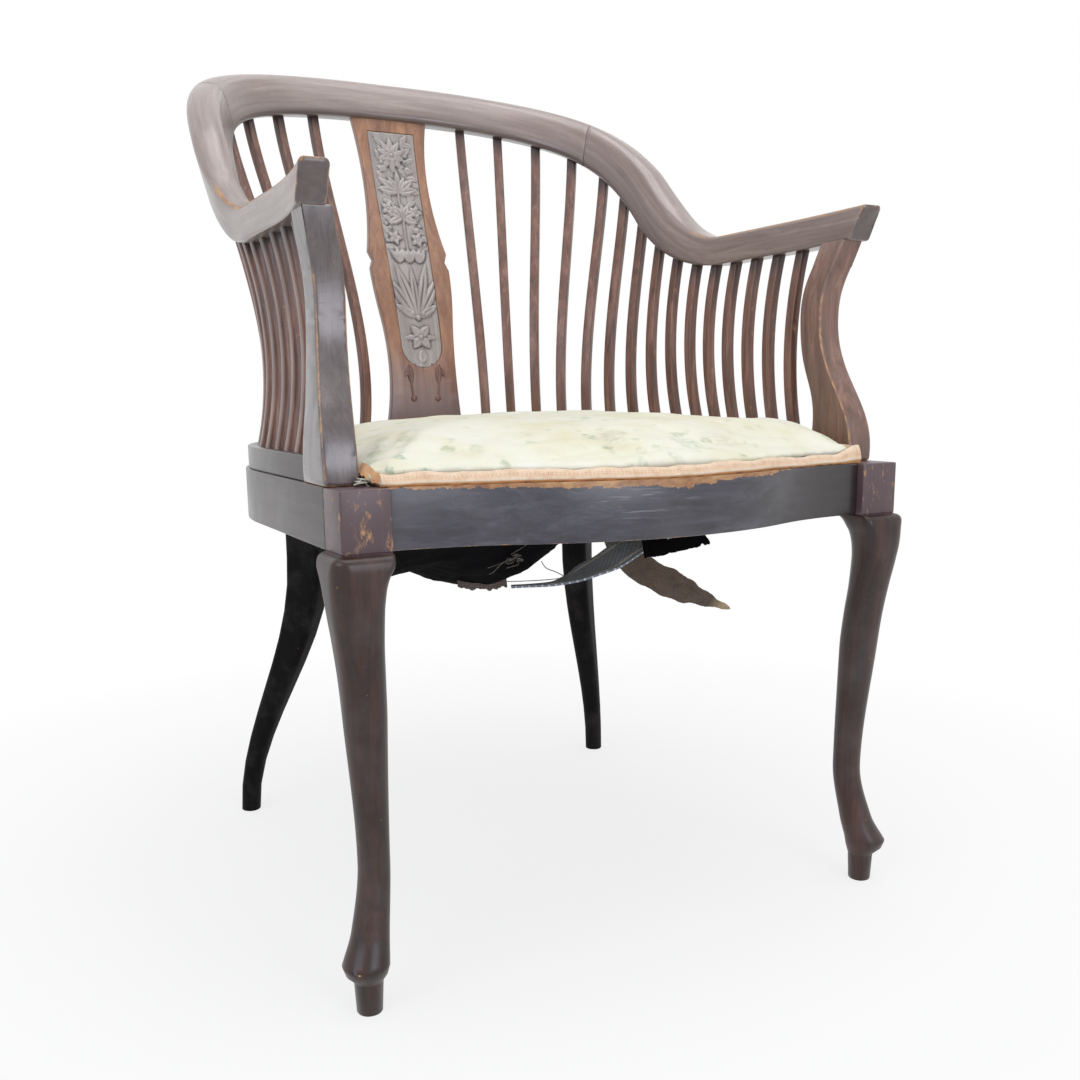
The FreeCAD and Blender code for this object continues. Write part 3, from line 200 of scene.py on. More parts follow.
def waves(points, size, seed, octaves=3):
    """Soft bumps from -1 to 1 about size across, the same every run."""
    draw = np.random.default_rng(seed)
    total = np.zeros(len(points))
    for octave in range(octaves):
        for _ in range(5):
            way = draw.normal(size=3)
            way /= np.linalg.norm(way)
            turn = draw.uniform(0, 2 * math.pi)
            total += np.sin(points @ way * (2 * math.pi * 2 ** octave / size) + turn) / 2 ** octave
    return total / 5


def line_waves(run, size, seed, octaves=3):
    """Soft bumps along one run."""
    return waves(np.stack([run, run * 0, run * 0], 1), size, seed, octaves)


def grid_piece(name, across, along, place):
    """A grid primitive moved to place(u, v), with u across and v along from 0 to 1."""
    bpy.ops.object.select_all(action="DESELECT")
    bpy.ops.mesh.primitive_grid_add(x_subdivisions=across, y_subdivisions=along, size=1)
    piece = bpy.context.object
    piece.name = name
    flat = points_of(piece)
    place_points(piece, place(flat[:, 0] + 0.5, flat[:, 1] + 0.5))
    return piece


def ring_piece(name, points, around):
    """A closed piece through rings of points that follow one another, with a cap at each end."""
    count = len(points) // around
    faces = [[r * around + k, r * around + (k + 1) % around, (r + 1) * around + (k + 1) % around,
              (r + 1) * around + k] for r in range(count - 1) for k in range(around)]
    faces.append(list(range(around)))
    faces.append(list(range((count - 1) * around, count * around)))
    mesh = bpy.data.meshes.new(name)
    mesh.from_pydata(points, [], faces)
    piece = bpy.data.objects.new(name, mesh)
    bpy.context.scene.collection.objects.link(piece)
    edit(piece)
    bpy.ops.mesh.normals_make_consistent(inside=False)
    close()
    return piece


def trim(piece, level, above):
    """Cut a piece off level, close the cut, and drop what lies above or below it."""
    edit(piece)
    bpy.ops.mesh.bisect(plane_co=(0, 0, level), plane_no=(0, 0, 1), use_fill=True, clear_outer=above,
                        clear_inner=not above)
    close()


def thicken(piece, thickness, offset=0):
    solid = piece.modifiers.new("cloth_thickness", "SOLIDIFY")
    solid.thickness = thickness
    solid.offset = offset
    apply(piece, solid)


def shade(piece, degrees=35):
    activate(piece)
    bpy.ops.object.shade_smooth_by_angle(angle=math.radians(degrees))


def write_layer(piece, name, values):
    """Write a number or a place for each point, for the materials to read."""
    values = np.asarray(values, np.float32)
    kind, key = ("FLOAT_VECTOR", "vector") if values.ndim == 2 else ("FLOAT", "value")
    layer = piece.data.attributes.get(name) or piece.data.attributes.new(name, kind, "POINT")
    layer.data.foreach_set(key, values.ravel())


def settle(piece, material, replaced=()):
    """Give a piece its finish and its place on the chair's one body."""
    piece.data.materials.clear()
    piece.data.materials.append(material)
    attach(piece, "root")
    if replaced:
        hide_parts(*replaced)
    return piece


# Materials

def surfaced(material, add, height, strength, depth, **values):
    """Finish a material with its bump, in millimetres, and its surface."""
    bump = add("Bump", {"Strength": strength, "Distance": depth * MM, "Height": height})
    named = {key.replace("_", " "): value for key, value in values.items()}
    shader = add("BsdfPrincipled", {**named, "Normal": bump})
    add("OutputMaterial", {"Surface": shader})
    return material


def mahogany(name, dark, middle, light, worn, roughness, coat, wax_and_painted_tint=None, torn=False, specular=0.5):
    """French-polished mahogany: dark pores in long streaks, a sheen of old polish, pale wood where rubbed."""
    material, add = new_material(name)
    grain = add("Attribute", out="Vector", attribute_name="grain")
    rubbed = add("Attribute", out="Fac", attribute_name="worn")
    # Streaks about 130 mm long and 9 mm wide
    long_grain = add("Mapping", {"Vector": grain, "Scale": (7.5, 110, 110)})
    streak = add("TexNoise", {"Vector": long_grain, "Scale": 1, "Detail": 5, "Roughness": 0.62,
                              "Distortion": 0.6})
    figure = add("ValToRGB", {"Fac": streak}, stops=((0.3, dark), (0.52, middle), (0.72, light)))
    # Pores are 0.3 mm wide on the real wood and are drawn about 1.4 mm wide, so that they show
    fine_grain = add("Mapping", {"Vector": grain, "Scale": (70, 700, 700)})
    pore = add("TexNoise", {"Vector": fine_grain, "Scale": 1, "Detail": 2})
    pore_mask = add("MapRange", span(pore, 0.56, 0.7, 0, 0.45))
    pored = add("Mix", {0: pore_mask, 6: figure, 7: colour(dark)}, **TINT)
    # Bloom and handling dull the polish in patches about 60 mm across
    patch = add("TexNoise", {"Vector": grain, "Scale": 17, "Detail": 4, "Roughness": 0.6})
    bloom_mask = add("MapRange", span(patch, 0.48, 0.75, 0, 0.2))
    bloomed = add("Mix", {0: bloom_mask, 6: pored, 7: colour("#77726f")}, **TINT)
    # Rubbed edges break up in flecks about 8 mm long
    short_grain = add("Mapping", {"Vector": grain, "Scale": (60, 130, 130)})
    fleck = add("TexNoise", {"Vector": short_grain, "Scale": 1, "Detail": 5, "Roughness": 0.7})
    edge = add("Math", {0: rubbed, 1: fleck}, operation="MULTIPLY")
    rubbed_off = add("MapRange", span(edge, 0.62 - worn, 0.76 - worn))
    bare = add("ValToRGB", {"Fac": fleck}, stops=((0.35, "#8a5c3a"), (0.7, "#c99d70")))
    if torn:
        # Above a level written on the rail the polish has torn away with the cover, down to raw wood
        place = add("TexCoord", out="Object")
        level = add("SeparateXYZ", {0: place}, out="Z")
        torn_level = add("Attribute", out="Fac", attribute_name="torn")
        rag = add("TexNoise", {"Vector": place, "Scale": 120, "Detail": 6, "Roughness": 0.7})
        shift = add("MapRange", span(rag, 0.3, 0.7, -2.2 * MM, 2.2 * MM))
        edge_level = add("Math", {0: torn_level, 1: shift}, operation="ADD")
        raw = add("Math", {0: level, 1: edge_level}, operation="GREATER_THAN")
        rubbed_off = add("Math", {0: rubbed_off, 1: raw}, operation="MAXIMUM")
    # Nicks: pale specks about 2 mm across
    speck = add("TexNoise", {"Vector": grain, "Scale": 210, "Detail": 2})
    nick = add("MapRange", span(speck, 0.75, 0.79, 0, 0.6))
    rubbed_off = add("Math", {0: rubbed_off, 1: nick}, operation="MAXIMUM")
    # The hollow layer mixes in a second tint: dark wax in carved hollows and on end grain, painted shade and
    # painted sheen elsewhere, and on the rail the plain brown beyond its painted reflection
    hollow = add("Attribute", out="Fac", attribute_name="hollow")
    wax_and_painted_mix = add("Mix", {0: hollow, 6: bloomed, 7: colour(wax_and_painted_tint or dark)}, **TINT)
    finished = add("Mix", {0: rubbed_off, 6: wax_and_painted_mix, 7: bare}, **TINT)
    if torn:
        # Scuffs: slanting pale scratches about 35 mm long, in one place left of the middle
        slant = add("Mapping", {"Vector": place, "Rotation": (0, math.radians(20), 0),
                                "Scale": (28, 28, 420)})
        scratch = add("TexNoise", {"Vector": slant, "Scale": 1, "Detail": 3})
        spot = add("Mapping", {"Vector": place, "Location": (-0.04, -0.32, 0.398),
                               "Scale": (0.07, 1, 0.018)}, vector_type="TEXTURE")
        far = add("VectorMath", {0: spot}, out="Value", operation="LENGTH")
        patchy = add("MapRange", span(far, 1.0, 0.4))
        line = add("MapRange", span(scratch, 0.57, 0.66, 0, 0.38))
        scuffed = add("Math", {0: patchy, 1: line}, operation="MULTIPLY")
        finished = add("Mix", {0: scuffed, 6: finished, 7: colour("#a5a3a6")}, **TINT)
    gloss = add("MapRange", span(patch, 0.3, 0.75, roughness - 0.07, roughness + 0.12))
    dull = add("Mix", {0: rubbed_off, 2: gloss, 3: 0.75}, data_type="FLOAT")
    height = add("Math", {0: pore, 1: streak}, operation="ADD")
    return surfaced(material, add, height, 0.15, 0.2, Base_Color=finished, Roughness=dull, IOR=1.52,
                    Specular_IOR_Level=specular, Coat_Weight=coat, Coat_Roughness=0.25)


def cloth(name, warp, weft, thread, size, stripe=None, fuzz=0.3, specular=0.2, tip=None):
    """Woven cloth: two sets of crossing threads, matt, with a little fuzz and soiling."""
    material, add = new_material(name)
    uv = add("TexCoord", out="UV")
    # One unit is one thread, so the threads keep their spacing in millimetres on any size of cloth
    counts = (size[0] / (thread * MM), size[1] / (thread * MM), 1)
    grid = add("Mapping", {"Vector": uv, "Scale": counts})
    long_way, cross_way = [add("TexWave", {"Vector": grid, "Scale": 0.314, "Distortion": 1.2, "Detail": 1},
                               out="Fac", bands_direction=way) for way in "XY"]
    over = add("TexChecker", {"Vector": grid, "Scale": 1.0}, out="Fac")
    weave = add("Mix", {0: over, 2: long_way, 3: cross_way}, data_type="FLOAT")
    spread = add("Mapping", {"Vector": uv, "Scale": (size[0], size[1], 1)})
    soil = add("TexNoise", {"Vector": spread, "Scale": 45, "Detail": 5, "Roughness": 0.65})
    blend = add("Math", {0: weave, 1: soil}, operation="MULTIPLY")
    final = add("ValToRGB", {"Fac": blend}, stops=((0.1, weft), (0.45, warp)))
    across = add("SeparateXYZ", {0: uv}, out="X")
    if stripe:
        # Two stripes run along the strap, near its edges
        aside = add("Math", {0: across, 1: 0.5}, operation="SUBTRACT")
        off = add("Math", {0: aside}, operation="ABSOLUTE")
        band = add("Math", {0: off, 1: 0.37, 2: 0.04}, operation="COMPARE")
        final = add("Mix", {0: band, 6: final, 7: colour(stripe)}, **TINT)
    if tip:
        # The torn end has bleached
        end = add("MapRange", span(across.node.outputs["Y"], 0.86, 0.95))
        final = add("Mix", {0: end, 6: final, 7: colour(tip)}, **TINT)
    return surfaced(material, add, weave, 0.6, 0.5, Base_Color=final, Roughness=0.92, Sheen_Weight=fuzz,
                    Specular_IOR_Level=specular)


def floral_cotton():
    """Washed-out printed cotton: cream ground, faint sprigs of teal, yellow and rose, yellowed with age."""
    material, add = new_material("faded floral printed cotton")
    place = add("TexCoord", out="Object")
    age = add("TexNoise", {"Vector": place, "Scale": 14, "Detail": 5, "Roughness": 0.6})
    ground = add("ValToRGB", {"Fac": age}, stops=((0.3, "#f8f6e9"), (0.5, "#f3f0da"), (0.68, "#eae4c2")))
    # Sprigs stand about 55 mm apart, with flowers about 20 mm across and leaves about 9 mm
    bend = add("TexNoise", {"Vector": place, "Scale": 60, "Detail": 3}, out="Color")
    bent = add("VectorMath", {0: bend, 1: (0.016, 0.016, 0)}, operation="MULTIPLY")
    drawn = add("VectorMath", {0: place, 1: bent}, operation="ADD")
    flat = add("Mapping", {"Vector": drawn, "Scale": (1, 1, 0.4)})
    flowers = add("TexVoronoi", {"Vector": flat, "Scale": 18}, out="Distance")
    leaves = add("TexVoronoi", {"Vector": flat, "Scale": 52}, out="Distance")
    wash = add("TexNoise", {"Vector": place, "Scale": 9, "Detail": 3})
    washed = add("MapRange", span(wash, 0.38, 0.66, 0.1, 0.85))
    # The print has rubbed away in streaks about 6 mm long
    streaks = add("Mapping", {"Vector": place, "Scale": (160, 320, 160)})
    brush = add("TexNoise", {"Vector": streaks, "Scale": 1, "Detail": 4, "Roughness": 0.6})
    left = add("MapRange", span(brush, 0.38, 0.62, 0.1))
    shown = add("Math", {0: washed, 1: left}, operation="MULTIPLY")
    flower = add("MapRange", span(flowers, 0.36, 0.18))
    leaf_mark = add("MapRange", span(leaves, 0.36, 0.24))
    near = add("MapRange", span(flowers, 0.68, 0.42))
    sprig = add("Math", {0: leaf_mark, 1: near}, operation="MULTIPLY")
    leaf_show = add("Math", {0: sprig, 1: shown}, operation="MULTIPLY")
    flower_show = add("Math", {0: flower, 1: shown}, operation="MULTIPLY")
    pick = add("SeparateXYZ", {0: flowers.node.outputs["Color"]}, out="X")
    petal = add("ValToRGB", {"Fac": pick}, stops=((0.2, "#e2d79a"), (0.45, "#e3cdb4"), (0.75, "#c3cfb4")))
    leafed = add("Mix", {0: leaf_show, 6: ground, 7: colour("#a3b48d")}, **TINT)
    printed = add("Mix", {0: flower_show, 6: leafed, 7: petal}, **TINT)
    # Leaves that kept their colour
    for x, y, turn, long, broad, tint, strength in KEPT_LEAVES:
        spot = add("Mapping", {"Vector": drawn, "Location": (x * MM, y * MM, 0.44),
                               "Rotation": (0, 0, math.radians(turn)),
                               "Scale": (long / 2 * MM, broad / 2 * MM, 1)}, vector_type="TEXTURE")
        far = add("VectorMath", {0: spot}, out="Value", operation="LENGTH")
        mark = add("MapRange", span(far, 1.0, 0.7, 0, strength))
        rubbed_mark = add("Math", {0: mark, 1: left}, operation="MULTIPLY")
        printed = add("Mix", {0: rubbed_mark, 6: printed, 7: colour(tint)}, **TINT)
    # Threads of the cotton, drawn 1.6 mm apart so that they show
    thread = add("TexVoronoi", {"Vector": place, "Scale": 625}, out="Distance")
    return surfaced(material, add, thread, 0.25, 0.3, Base_Color=printed, Roughness=0.88, Sheen_Weight=0.1,
                    Specular_IOR_Level=0.25)


def braid():
    """Peach cotton braid along a hem: a rolled pale cord, a row of stitch holes, and torn cloth below."""
    material, add = new_material("faded peach cotton braid")
    uv = add("TexCoord", out="UV")
    across = add("SeparateXYZ", {0: uv}, out="X")
    spread = add("Mapping", {"Vector": uv, "Scale": (HEM_WIDTH, HEM_LENGTH, 1)})
    soil = add("TexNoise", {"Vector": spread, "Scale": 90, "Detail": 5, "Roughness": 0.65})
    zone = add("ValToRGB", {"Fac": across},
               stops=((0.16, "#d29a63"), (0.25, "#f6e9d3"), (0.36, "#f5d5b3"), (0.98, "#f8dfc2")))
    soiled = add("MapRange", span(soil, 0.45, 0.75, 0, 0.55))
    aged = add("Mix", {0: soiled, 6: zone, 7: colour("#cf9a6c")}, **TINT)
    # Stitch holes about 3.2 mm apart, and cross threads of the braid 1.6 mm apart
    holes = add("Mapping", {"Vector": uv, "Scale": (7, HEM_LENGTH / (3.2 * MM), 1)})
    cell = add("VectorMath", {0: holes}, operation="FRACTION")
    middle = add("VectorMath", {0: cell, 1: (0.5, 0.5, 0)}, out="Value", operation="DISTANCE")
    hole = add("MapRange", span(middle, 0.34, 0.2, 0, 0.28))
    row = add("Math", {0: across, 1: 0.6, 2: 0.17}, operation="COMPARE")
    pricked = add("Math", {0: hole, 1: row}, operation="MULTIPLY")
    final = add("Mix", {0: pricked, 6: aged, 7: colour("#b5735a")}, **TINT)
    ribs = add("Mapping", {"Vector": uv, "Scale": (1, HEM_LENGTH / (1.6 * MM), 1)})
    rib = add("TexWave", {"Vector": ribs, "Scale": 0.314, "Distortion": 1.5, "Detail": 1}, out="Fac",
              bands_direction="Y")
    return surfaced(material, add, rib, 0.5, 0.4, Base_Color=final, Roughness=0.9, Sheen_Weight=0.15,
                    Specular_IOR_Level=0.2)


def plain_finish(name, base, other, grain_scale, roughness, metallic=0.0):
    """A small or hidden finish: base colour clouded with a second one at the given scale per metre."""
    material, add = new_material(name)
    place = add("TexCoord", out="Object")
    stretched = add("Mapping", {"Vector": place, "Scale": grain_scale})
    cloud = add("TexNoise", {"Vector": stretched, "Scale": 1, "Detail": 4})
    tint = add("ValToRGB", {"Fac": cloud}, stops=((0.35, other), (0.65, base)))
    return surfaced(material, add, cloud, 0.2, 0.2, Base_Color=tint, Roughness=roughness, Metallic=metallic)


# Each wood: dark, middle and light of its figure, how far its edges are rubbed, roughness and polish
# The leg wood's second tint is the painted sheen on the leg heads
leg_wood = mahogany("red-brown polished mahogany", "#170907", "#2e150f", "#4a251a", 0.06, 0.40, 0.2,
                    wax_and_painted_tint="#6a565c", specular=0.4)
frame_wood = mahogany("dark polished mahogany", "#1d1415", "#312628", "#473a3a", 0.08, 0.38, 0.5)
# Its bluish-grey tints are a painted reflection
rail_wood_painted_reflection = mahogany("chipped mahogany with painted bluish reflection", "#25232b", "#3c3a44", "#54525d", 0.10, 0.38, 0.35,
                     wax_and_painted_tint="#241916", torn=True)
# The rear legs' near-black tints are painted shade
rear_wood_painted_shade = mahogany("near-black rear leg wood with painted shade", "#050304", "#090607", "#0f0b0c", 0.0, 0.6, 0.0, specular=0.1)
# Lit and shaded copies of one post wood: the left post's pale grey tints are painted sheen, the right post's
# warmer tints are its shaded copy
post_wood = mahogany("edge-worn mahogany with painted sheen", "#403535", "#5b5050", "#756866", 0.24, 0.30, 0.8)
shaded_post_wood = mahogany("edge-worn mahogany, shaded copy", "#573a2f", "#7d5848", "#9d7664", 0.24, 0.34, 0.6)
# The arms' and crest's pale mauve-grey tints are painted sheen
bow_wood_painted_sheen = mahogany("pale mahogany with painted sheen", "#7d6a62", "#94817a", "#ac9a90", 0.2, 0.34, 0.7,
                    wax_and_painted_tint="#382d2f")
# The spindle wood's second tint is painted shadow at the spindles' tips
spindle_wood = mahogany("faded polished mahogany", "#4a2d23", "#7a5445", "#9c7363", 0.0, 0.40, 0.3,
                        wax_and_painted_tint="#1d1314")
# The splat wood's second tint is painted shade at the splat's foot
splat_wood = mahogany("warm polished mahogany", "#805339", "#9e7054", "#b98966", 0.05, 0.36, 0.35,
                      wax_and_painted_tint="#6b5a5b")
carved_wood = mahogany("waxed carved mahogany with painted shade", "#968d88", "#a89f9a", "#bdb4ae", 0.02, 0.32, 0.6,
                       wax_and_painted_tint="#2b2422")
cotton_print = floral_cotton()
beech = plain_finish("planed beech", "#c79f74", "#a97f55", (400, 60, 400), 0.6)
steel = plain_finish("dull steel", "#7d7a76", "#55504b", (300, 300, 300), 0.45, 1.0)


# Wooden frame

SHARP_ANGLE = math.radians(40)
WEAR_FADE = 30 * MM


def bevel_edges(piece, width, below):
    """Round a piece's sharp edges, and note the points on them, which are worn below a level."""
    skin = BVHTree.FromPolygons([v.co for v in piece.data.vertices],
                                [tuple(p.vertices) for p in piece.data.polygons])
    edit(piece)
    bpy.ops.mesh.dissolve_limited(angle_limit=math.radians(0.3))
    bpy.ops.mesh.select_all(action="DESELECT")
    bpy.ops.mesh.select_mode(type="EDGE")
    mesh = bmesh.from_edit_mesh(piece.data)
    for edge in mesh.edges:
        outer = edge.is_manifold and edge.is_convex and edge.calc_face_angle(0) > SHARP_ANGLE
        edge.select_set(outer)
    bmesh.update_edit_mesh(piece.data)
    bpy.ops.mesh.bevel(offset=width, segments=3, affect="EDGES", clamp_overlap=False, loop_slide=False)
    mesh = bmesh.from_edit_mesh(piece.data)
    worn = mesh.verts.layers.float.new("worn")
    for vertex in mesh.verts:
        inside = vertex.select and all(face.select for face in vertex.link_faces)
        fade = min(max((below - vertex.co.z) / WEAR_FADE, 0), 1)
        vertex[worn] = fade if inside else 0.0
        # A bevel that runs off a narrow corner comes back to the wood's own skin
        place, normal, index, distance = skin.find_nearest(vertex.co)
        if distance > width:
            vertex.co = place
    bmesh.update_edit_mesh(piece.data)
    bpy.ops.mesh.select_mode(type="VERT")
    close()


def write_grain(piece, rows):
    """Write each point's place along and across the grain, in metres, with a shift of the piece's own."""
    write_layer(piece, "grain", rows + rng.uniform(-3, 3, 3))


def lay_grain(piece, way):
    """Run the grain upright, across, or round the seat."""
    x, y, z = points_of(piece).T
    if way == "upright":
        rows = np.stack([z, x, y], 1)
    elif way == "cross":
        rows = np.stack([x, y, z], 1)
    else:
        behind = y > SEAT_CENTRE
        radius = np.where(behind, np.hypot(x, y - SEAT_CENTRE), np.abs(x))
        turn = np.arctan2(y - SEAT_CENTRE, np.abs(x))
        run = np.where(behind, turn * SEAT_HALF, y - SEAT_CENTRE)
        rows = np.stack([run, radius, z], 1)
    write_grain(piece, rows)


def wooden(cad_node, material, way, width, below=1.0, shape=None):
    """A wooden piece in place of its CAD node, with its edges eased, and worn below a level."""
    piece = copy_of(cad_node, cad_node + "_wood")
    if shape:
        shape(piece)
    bevel_edges(piece, width, below)
    lay_grain(piece, way)
    shade(piece)
    return settle(piece, material, [cad_node])


# How far the waist of an arm post bows, and how its head leans out and forward for each unit of rise
POST_BOW_OUT = 10 * MM
POST_BOW_FORWARD = 12.5 * MM
HEAD_OUT = 0.4
HEAD_FORWARD = 0.5


def bow_post(piece):
    """Run the post's head on plainly into its arm, and bow the waist out and forward as the photo shows."""
    trim(piece, POST_HEAD, above=True)
    side = np.sign(points_of(piece)[0, 0])
    rise = POST_TOP - POST_HEAD
    bpy.ops.object.mode_set(mode="EDIT")
    bpy.ops.mesh.select_mode(type="FACE")
    mesh = bmesh.from_edit_mesh(piece.data)
    for face in mesh.faces:
        face.select_set(min(vertex.co.z for vertex in face.verts) > POST_HEAD - 0.01 * MM)
    bmesh.update_edit_mesh(piece.data)
    lift = (side * HEAD_OUT * rise, -HEAD_FORWARD * rise, rise)
    bpy.ops.mesh.extrude_region_move(TRANSFORM_OT_translate={"value": lift})
    bpy.ops.mesh.select_mode(type="VERT")
    close()
    x, y, z = points_of(piece).T
    share = np.clip((z - SEAT_TOP) / (POST_TOP - SEAT_TOP), 0, 1)
    bow = np.sin(np.pi * share ** 1.25)
    place_points(piece, np.stack([x + side * POST_BOW_OUT * bow, y - POST_BOW_FORWARD * bow, z], 1))


# Front leg under its head: depth below the rail, reach of the outer and inner faces from the head's middle,
# and radii of the outer corner, the two side corners and the inner corner, in millimetres
SHANK = np.array((
    (-0.6, 19, 19, 2, 2, 2), (0.2, 20.5, 19.6, 3, 2, 2), (1.2, 24, 20, 6, 3, 6), (3, 26.6, 20, 9, 4, 14),
    (6, 28.4, 19.8, 12, 5, 22), (11, 29.3, 18.8, 15, 6, 26), (18, 29.4, 15.8, 16, 9, 25),
    (28, 29, 14, 16, 12, 25), (45, 27.3, 12.8, 17, 13, 23), (66, 24.3, 13.1, 17, 13.5, 21),
    (100, 20.2, 15, 16.4, 15, 18), (132.5, 17.7, 16.3, 16.3, 16.3, 16.3),
    (249.5, 9.4, 16.2, 12.3, 12.3, 12.3), (302.7, 19.2, 11, 14.4, 14.4, 14.4),
    (325.5, 29.75, 7.75, 18, 18, 18)))
# The foot below its rim has one radius for all corners
FOOT = ((326.4, 29.6, 7.7, 17.8), (333, 27.3, 6.3, 16.1), (340.3, 20.4, 3.4, 11.4), (341, 20.2, 3.2, 11.3),
        (366.6, 18.8, 1.8, 9.8), (367.5, 18.2, 1.2, 9.2))
LEG_HEAD = (250, -268.5)
RIM_DEPTH = 325.8
BROW_DEPTH = 6


def leg_ring(side, depth, outer, inner, corner, elbow, heel):
    """One level ring of the leg, from its outer face round by the front, in metres."""
    ring = []
    for quarter, across, ahead, radius in ((0, outer, outer, corner), (1, -inner, outer, elbow),
                                           (2, -inner, -inner, heel), (3, outer, -inner, elbow)):
        middle = (across - math.copysign(radius, 1 if quarter in (0, 3) else -1),
                  ahead - math.copysign(radius, 1 if quarter < 2 else -1))
        for step in range(9):
            turn = (quarter + step / 8) * math.pi / 2
            u = middle[0] + radius * math.cos(turn)
            v = middle[1] + radius * math.sin(turn)
            ring.append((side * (LEG_HEAD[0] + u) * MM, (LEG_HEAD[1] - v) * MM, RAIL_UNDER - depth * MM))
    return ring


def cabriole(side, word):
    """Front leg: square head, a knee that stands out under it like a shelf, shank, pad foot and peg."""
    name = "front_" + word + "_leg"
    head = copy_of(name, name + "_wood")
    trim(head, RAIL_UNDER, above=False)
    bevel_edges(head, 1.4 * MM, 1.0)
    fine = np.concatenate([np.linspace(-0.6, 6, 12), np.linspace(8, 60, 20), np.linspace(66, 325.5, 60)])
    columns = [smooth_through(SHANK[:, 0], SHANK[:, k], fine, steady=True) for k in range(1, 6)]
    rows = list(zip(fine, *columns)) + [(*row, row[3], row[3]) for row in FOOT]
    rings = [leg_ring(side, *row) for row in rows]
    shank = ring_piece(name + "_shank", sum(rings, []), len(rings[0]))
    # The foot's rim and the knee's brow are rubbed
    depth = (RAIL_UNDER - points_of(shank)[:, 2]) / MM
    rim = np.exp(-((depth - RIM_DEPTH) / 2) ** 2) + 0.75 * np.exp(-((depth - BROW_DEPTH) / 5) ** 2)
    write_layer(shank, "worn", rim)
    join([head, shank], name + "_wood")
    lay_grain(head, "upright")
    # Painted sheen: the head is tinted a lighter purple grey than the leg
    write_layer(head, "hollow", np.where(points_of(head)[:, 2] > RAIL_UNDER - 0.1 * MM, 0.6, 0))
    shade(head, 40)
    return settle(head, leg_wood, [name])


front_rail = wooden("front_rail", rail_wood_painted_reflection, "cross", 1.2 * MM)
rail_places = points_of(front_rail)[:, 0] / MM
# The rail's bluish-grey tints are a painted reflection; towards the right the hollow layer turns them to
# plain brown
write_layer(front_rail, "hollow", 0.8 * smooth_step((rail_places - 40) / 150))
write_layer(front_rail, "torn", SEAT_TOP - np.interp(rail_places, TORN_PLACES, TORN_DEPTHS) * MM)
wooden("back_rail", frame_wood, "round", 1.2 * MM)
wooden("back_spindle_rail", frame_wood, "round", 1.2 * MM)
for side, word in SIDES:
    wooden(word + "_side_rail", frame_wood, "round", 1.2 * MM)
    wooden(word + "_spindle_rail", frame_wood, "round", 1.2 * MM)
    # The left post takes the copy with painted sheen, the right post the shaded copy
    post_finish = post_wood if side < 0 else shaded_post_wood
    wooden(word + "_arm_post", post_finish, "upright", 2.4 * MM, POST_HEAD, bow_post)
    cabriole(side, word)
    wooden("rear_" + word + "_leg", rear_wood_painted_shade, "upright", 1.2 * MM)
    for number in range(1, 16):
        spindle = wooden(f"{word}_spindle_{number:02d}", spindle_wood, "upright", 1.3 * MM)
        # Painted shadow darkens its tip, under the bow
        levels = points_of(spindle)[:, 2]
        write_layer(spindle, "hollow", 0.85 * smooth_step((30 * MM - levels.max() + levels) / (18 * MM)))
splat = wooden("back_splat", splat_wood, "upright", 1.0 * MM)
# Painted shade darkens the splat's foot, under the seat and arms
write_layer(splat, "hollow", np.clip((540 * MM - points_of(splat)[:, 2]) / (90 * MM), 0, 0.85))

# Arms and crest, swept round the horseshoe

CREST_HALF = 257 * MM
CREST_STRAIGHT = 343 * MM
ARM_TIP = 48 * MM
ARM_LEVEL = 632 * MM
CREST_LEVEL = 834 * MM
SWEEP_START = 247 * MM
SWEEP_HOLLOW = 147 * MM
ARCH = 2.78
TIP_LEAN = 0.5
SCARF = 492.8 * MM
SCARF_GAP = 0.15 * MM
CREST_END = CREST_STRAIGHT + CREST_HALF * math.pi / 2


def tip_flare(along):
    """How far a place on the arm has flared towards its tip, from 0 to 1."""
    flare = max(150 * MM - along, 0) / (150 * MM - ARM_TIP)
    return flare * flare


def crest_level(along):
    """Height of the middle of the arm or crest."""
    length = CREST_END - SWEEP_START
    hollow = SWEEP_HOLLOW / length
    share = (along - SWEEP_START) / length
    rise = CREST_LEVEL - ARM_LEVEL
    steepest = 1 / (hollow / 2 + (1 - hollow) / ARCH)
    if share <= 0:
        return ARM_LEVEL + 3 * MM * tip_flare(along)
    if share < hollow:
        return ARM_LEVEL + rise * steepest * share * share / (2 * hollow)
    to_top = max((1 - share) / (1 - hollow), 0)
    return CREST_LEVEL - rise * steepest * (1 - hollow) / ARCH * to_top ** ARCH


def section(along):
    """The rounded section there: offsets outwards and up, and how much each point is rubbed."""
    become = float(smooth_step((along - SWEEP_START) / SWEEP_HOLLOW))
    step = 1 * MM
    slope = (crest_level(along + step) - crest_level(along - step)) / (2 * step)
    half_width = (24 + 10 * become) / 2 * MM
    half_height = (30 + 16 * become) / 2 * MM * math.hypot(1, slope)
    upper = (4.5 + 9.5 * become) * MM
    lower = (2.5 + 6.5 * become) * MM
    lean = 16 * MM * become / (2 * half_height)
    rows = []
    for across, rise, radius in ((1, -1, lower), (1, 1, upper), (-1, 1, upper), (-1, -1, lower)):
        turns = np.linspace(0, 1, 7) if across * rise < 0 else np.linspace(1, 0, 7)
        for turn in turns:
            # The corner's arc runs from the underside or top to the side
            x = across * (half_width - radius + radius * math.sin(turn * math.pi / 2))
            z = rise * (half_height - radius + radius * math.cos(turn * math.pi / 2))
            peak = min(max(0.0, 1.9 - 2.2 * abs(2 * turn - 1)), 1)
            outer_top = 1.7 if across > 0 else 1.1
            rub = peak * (outer_top * (1 - 0.9 * become) if rise > 0 else 0.45 * (1 - become))
            rows.append((x + lean * z, z, rub))
    return rows


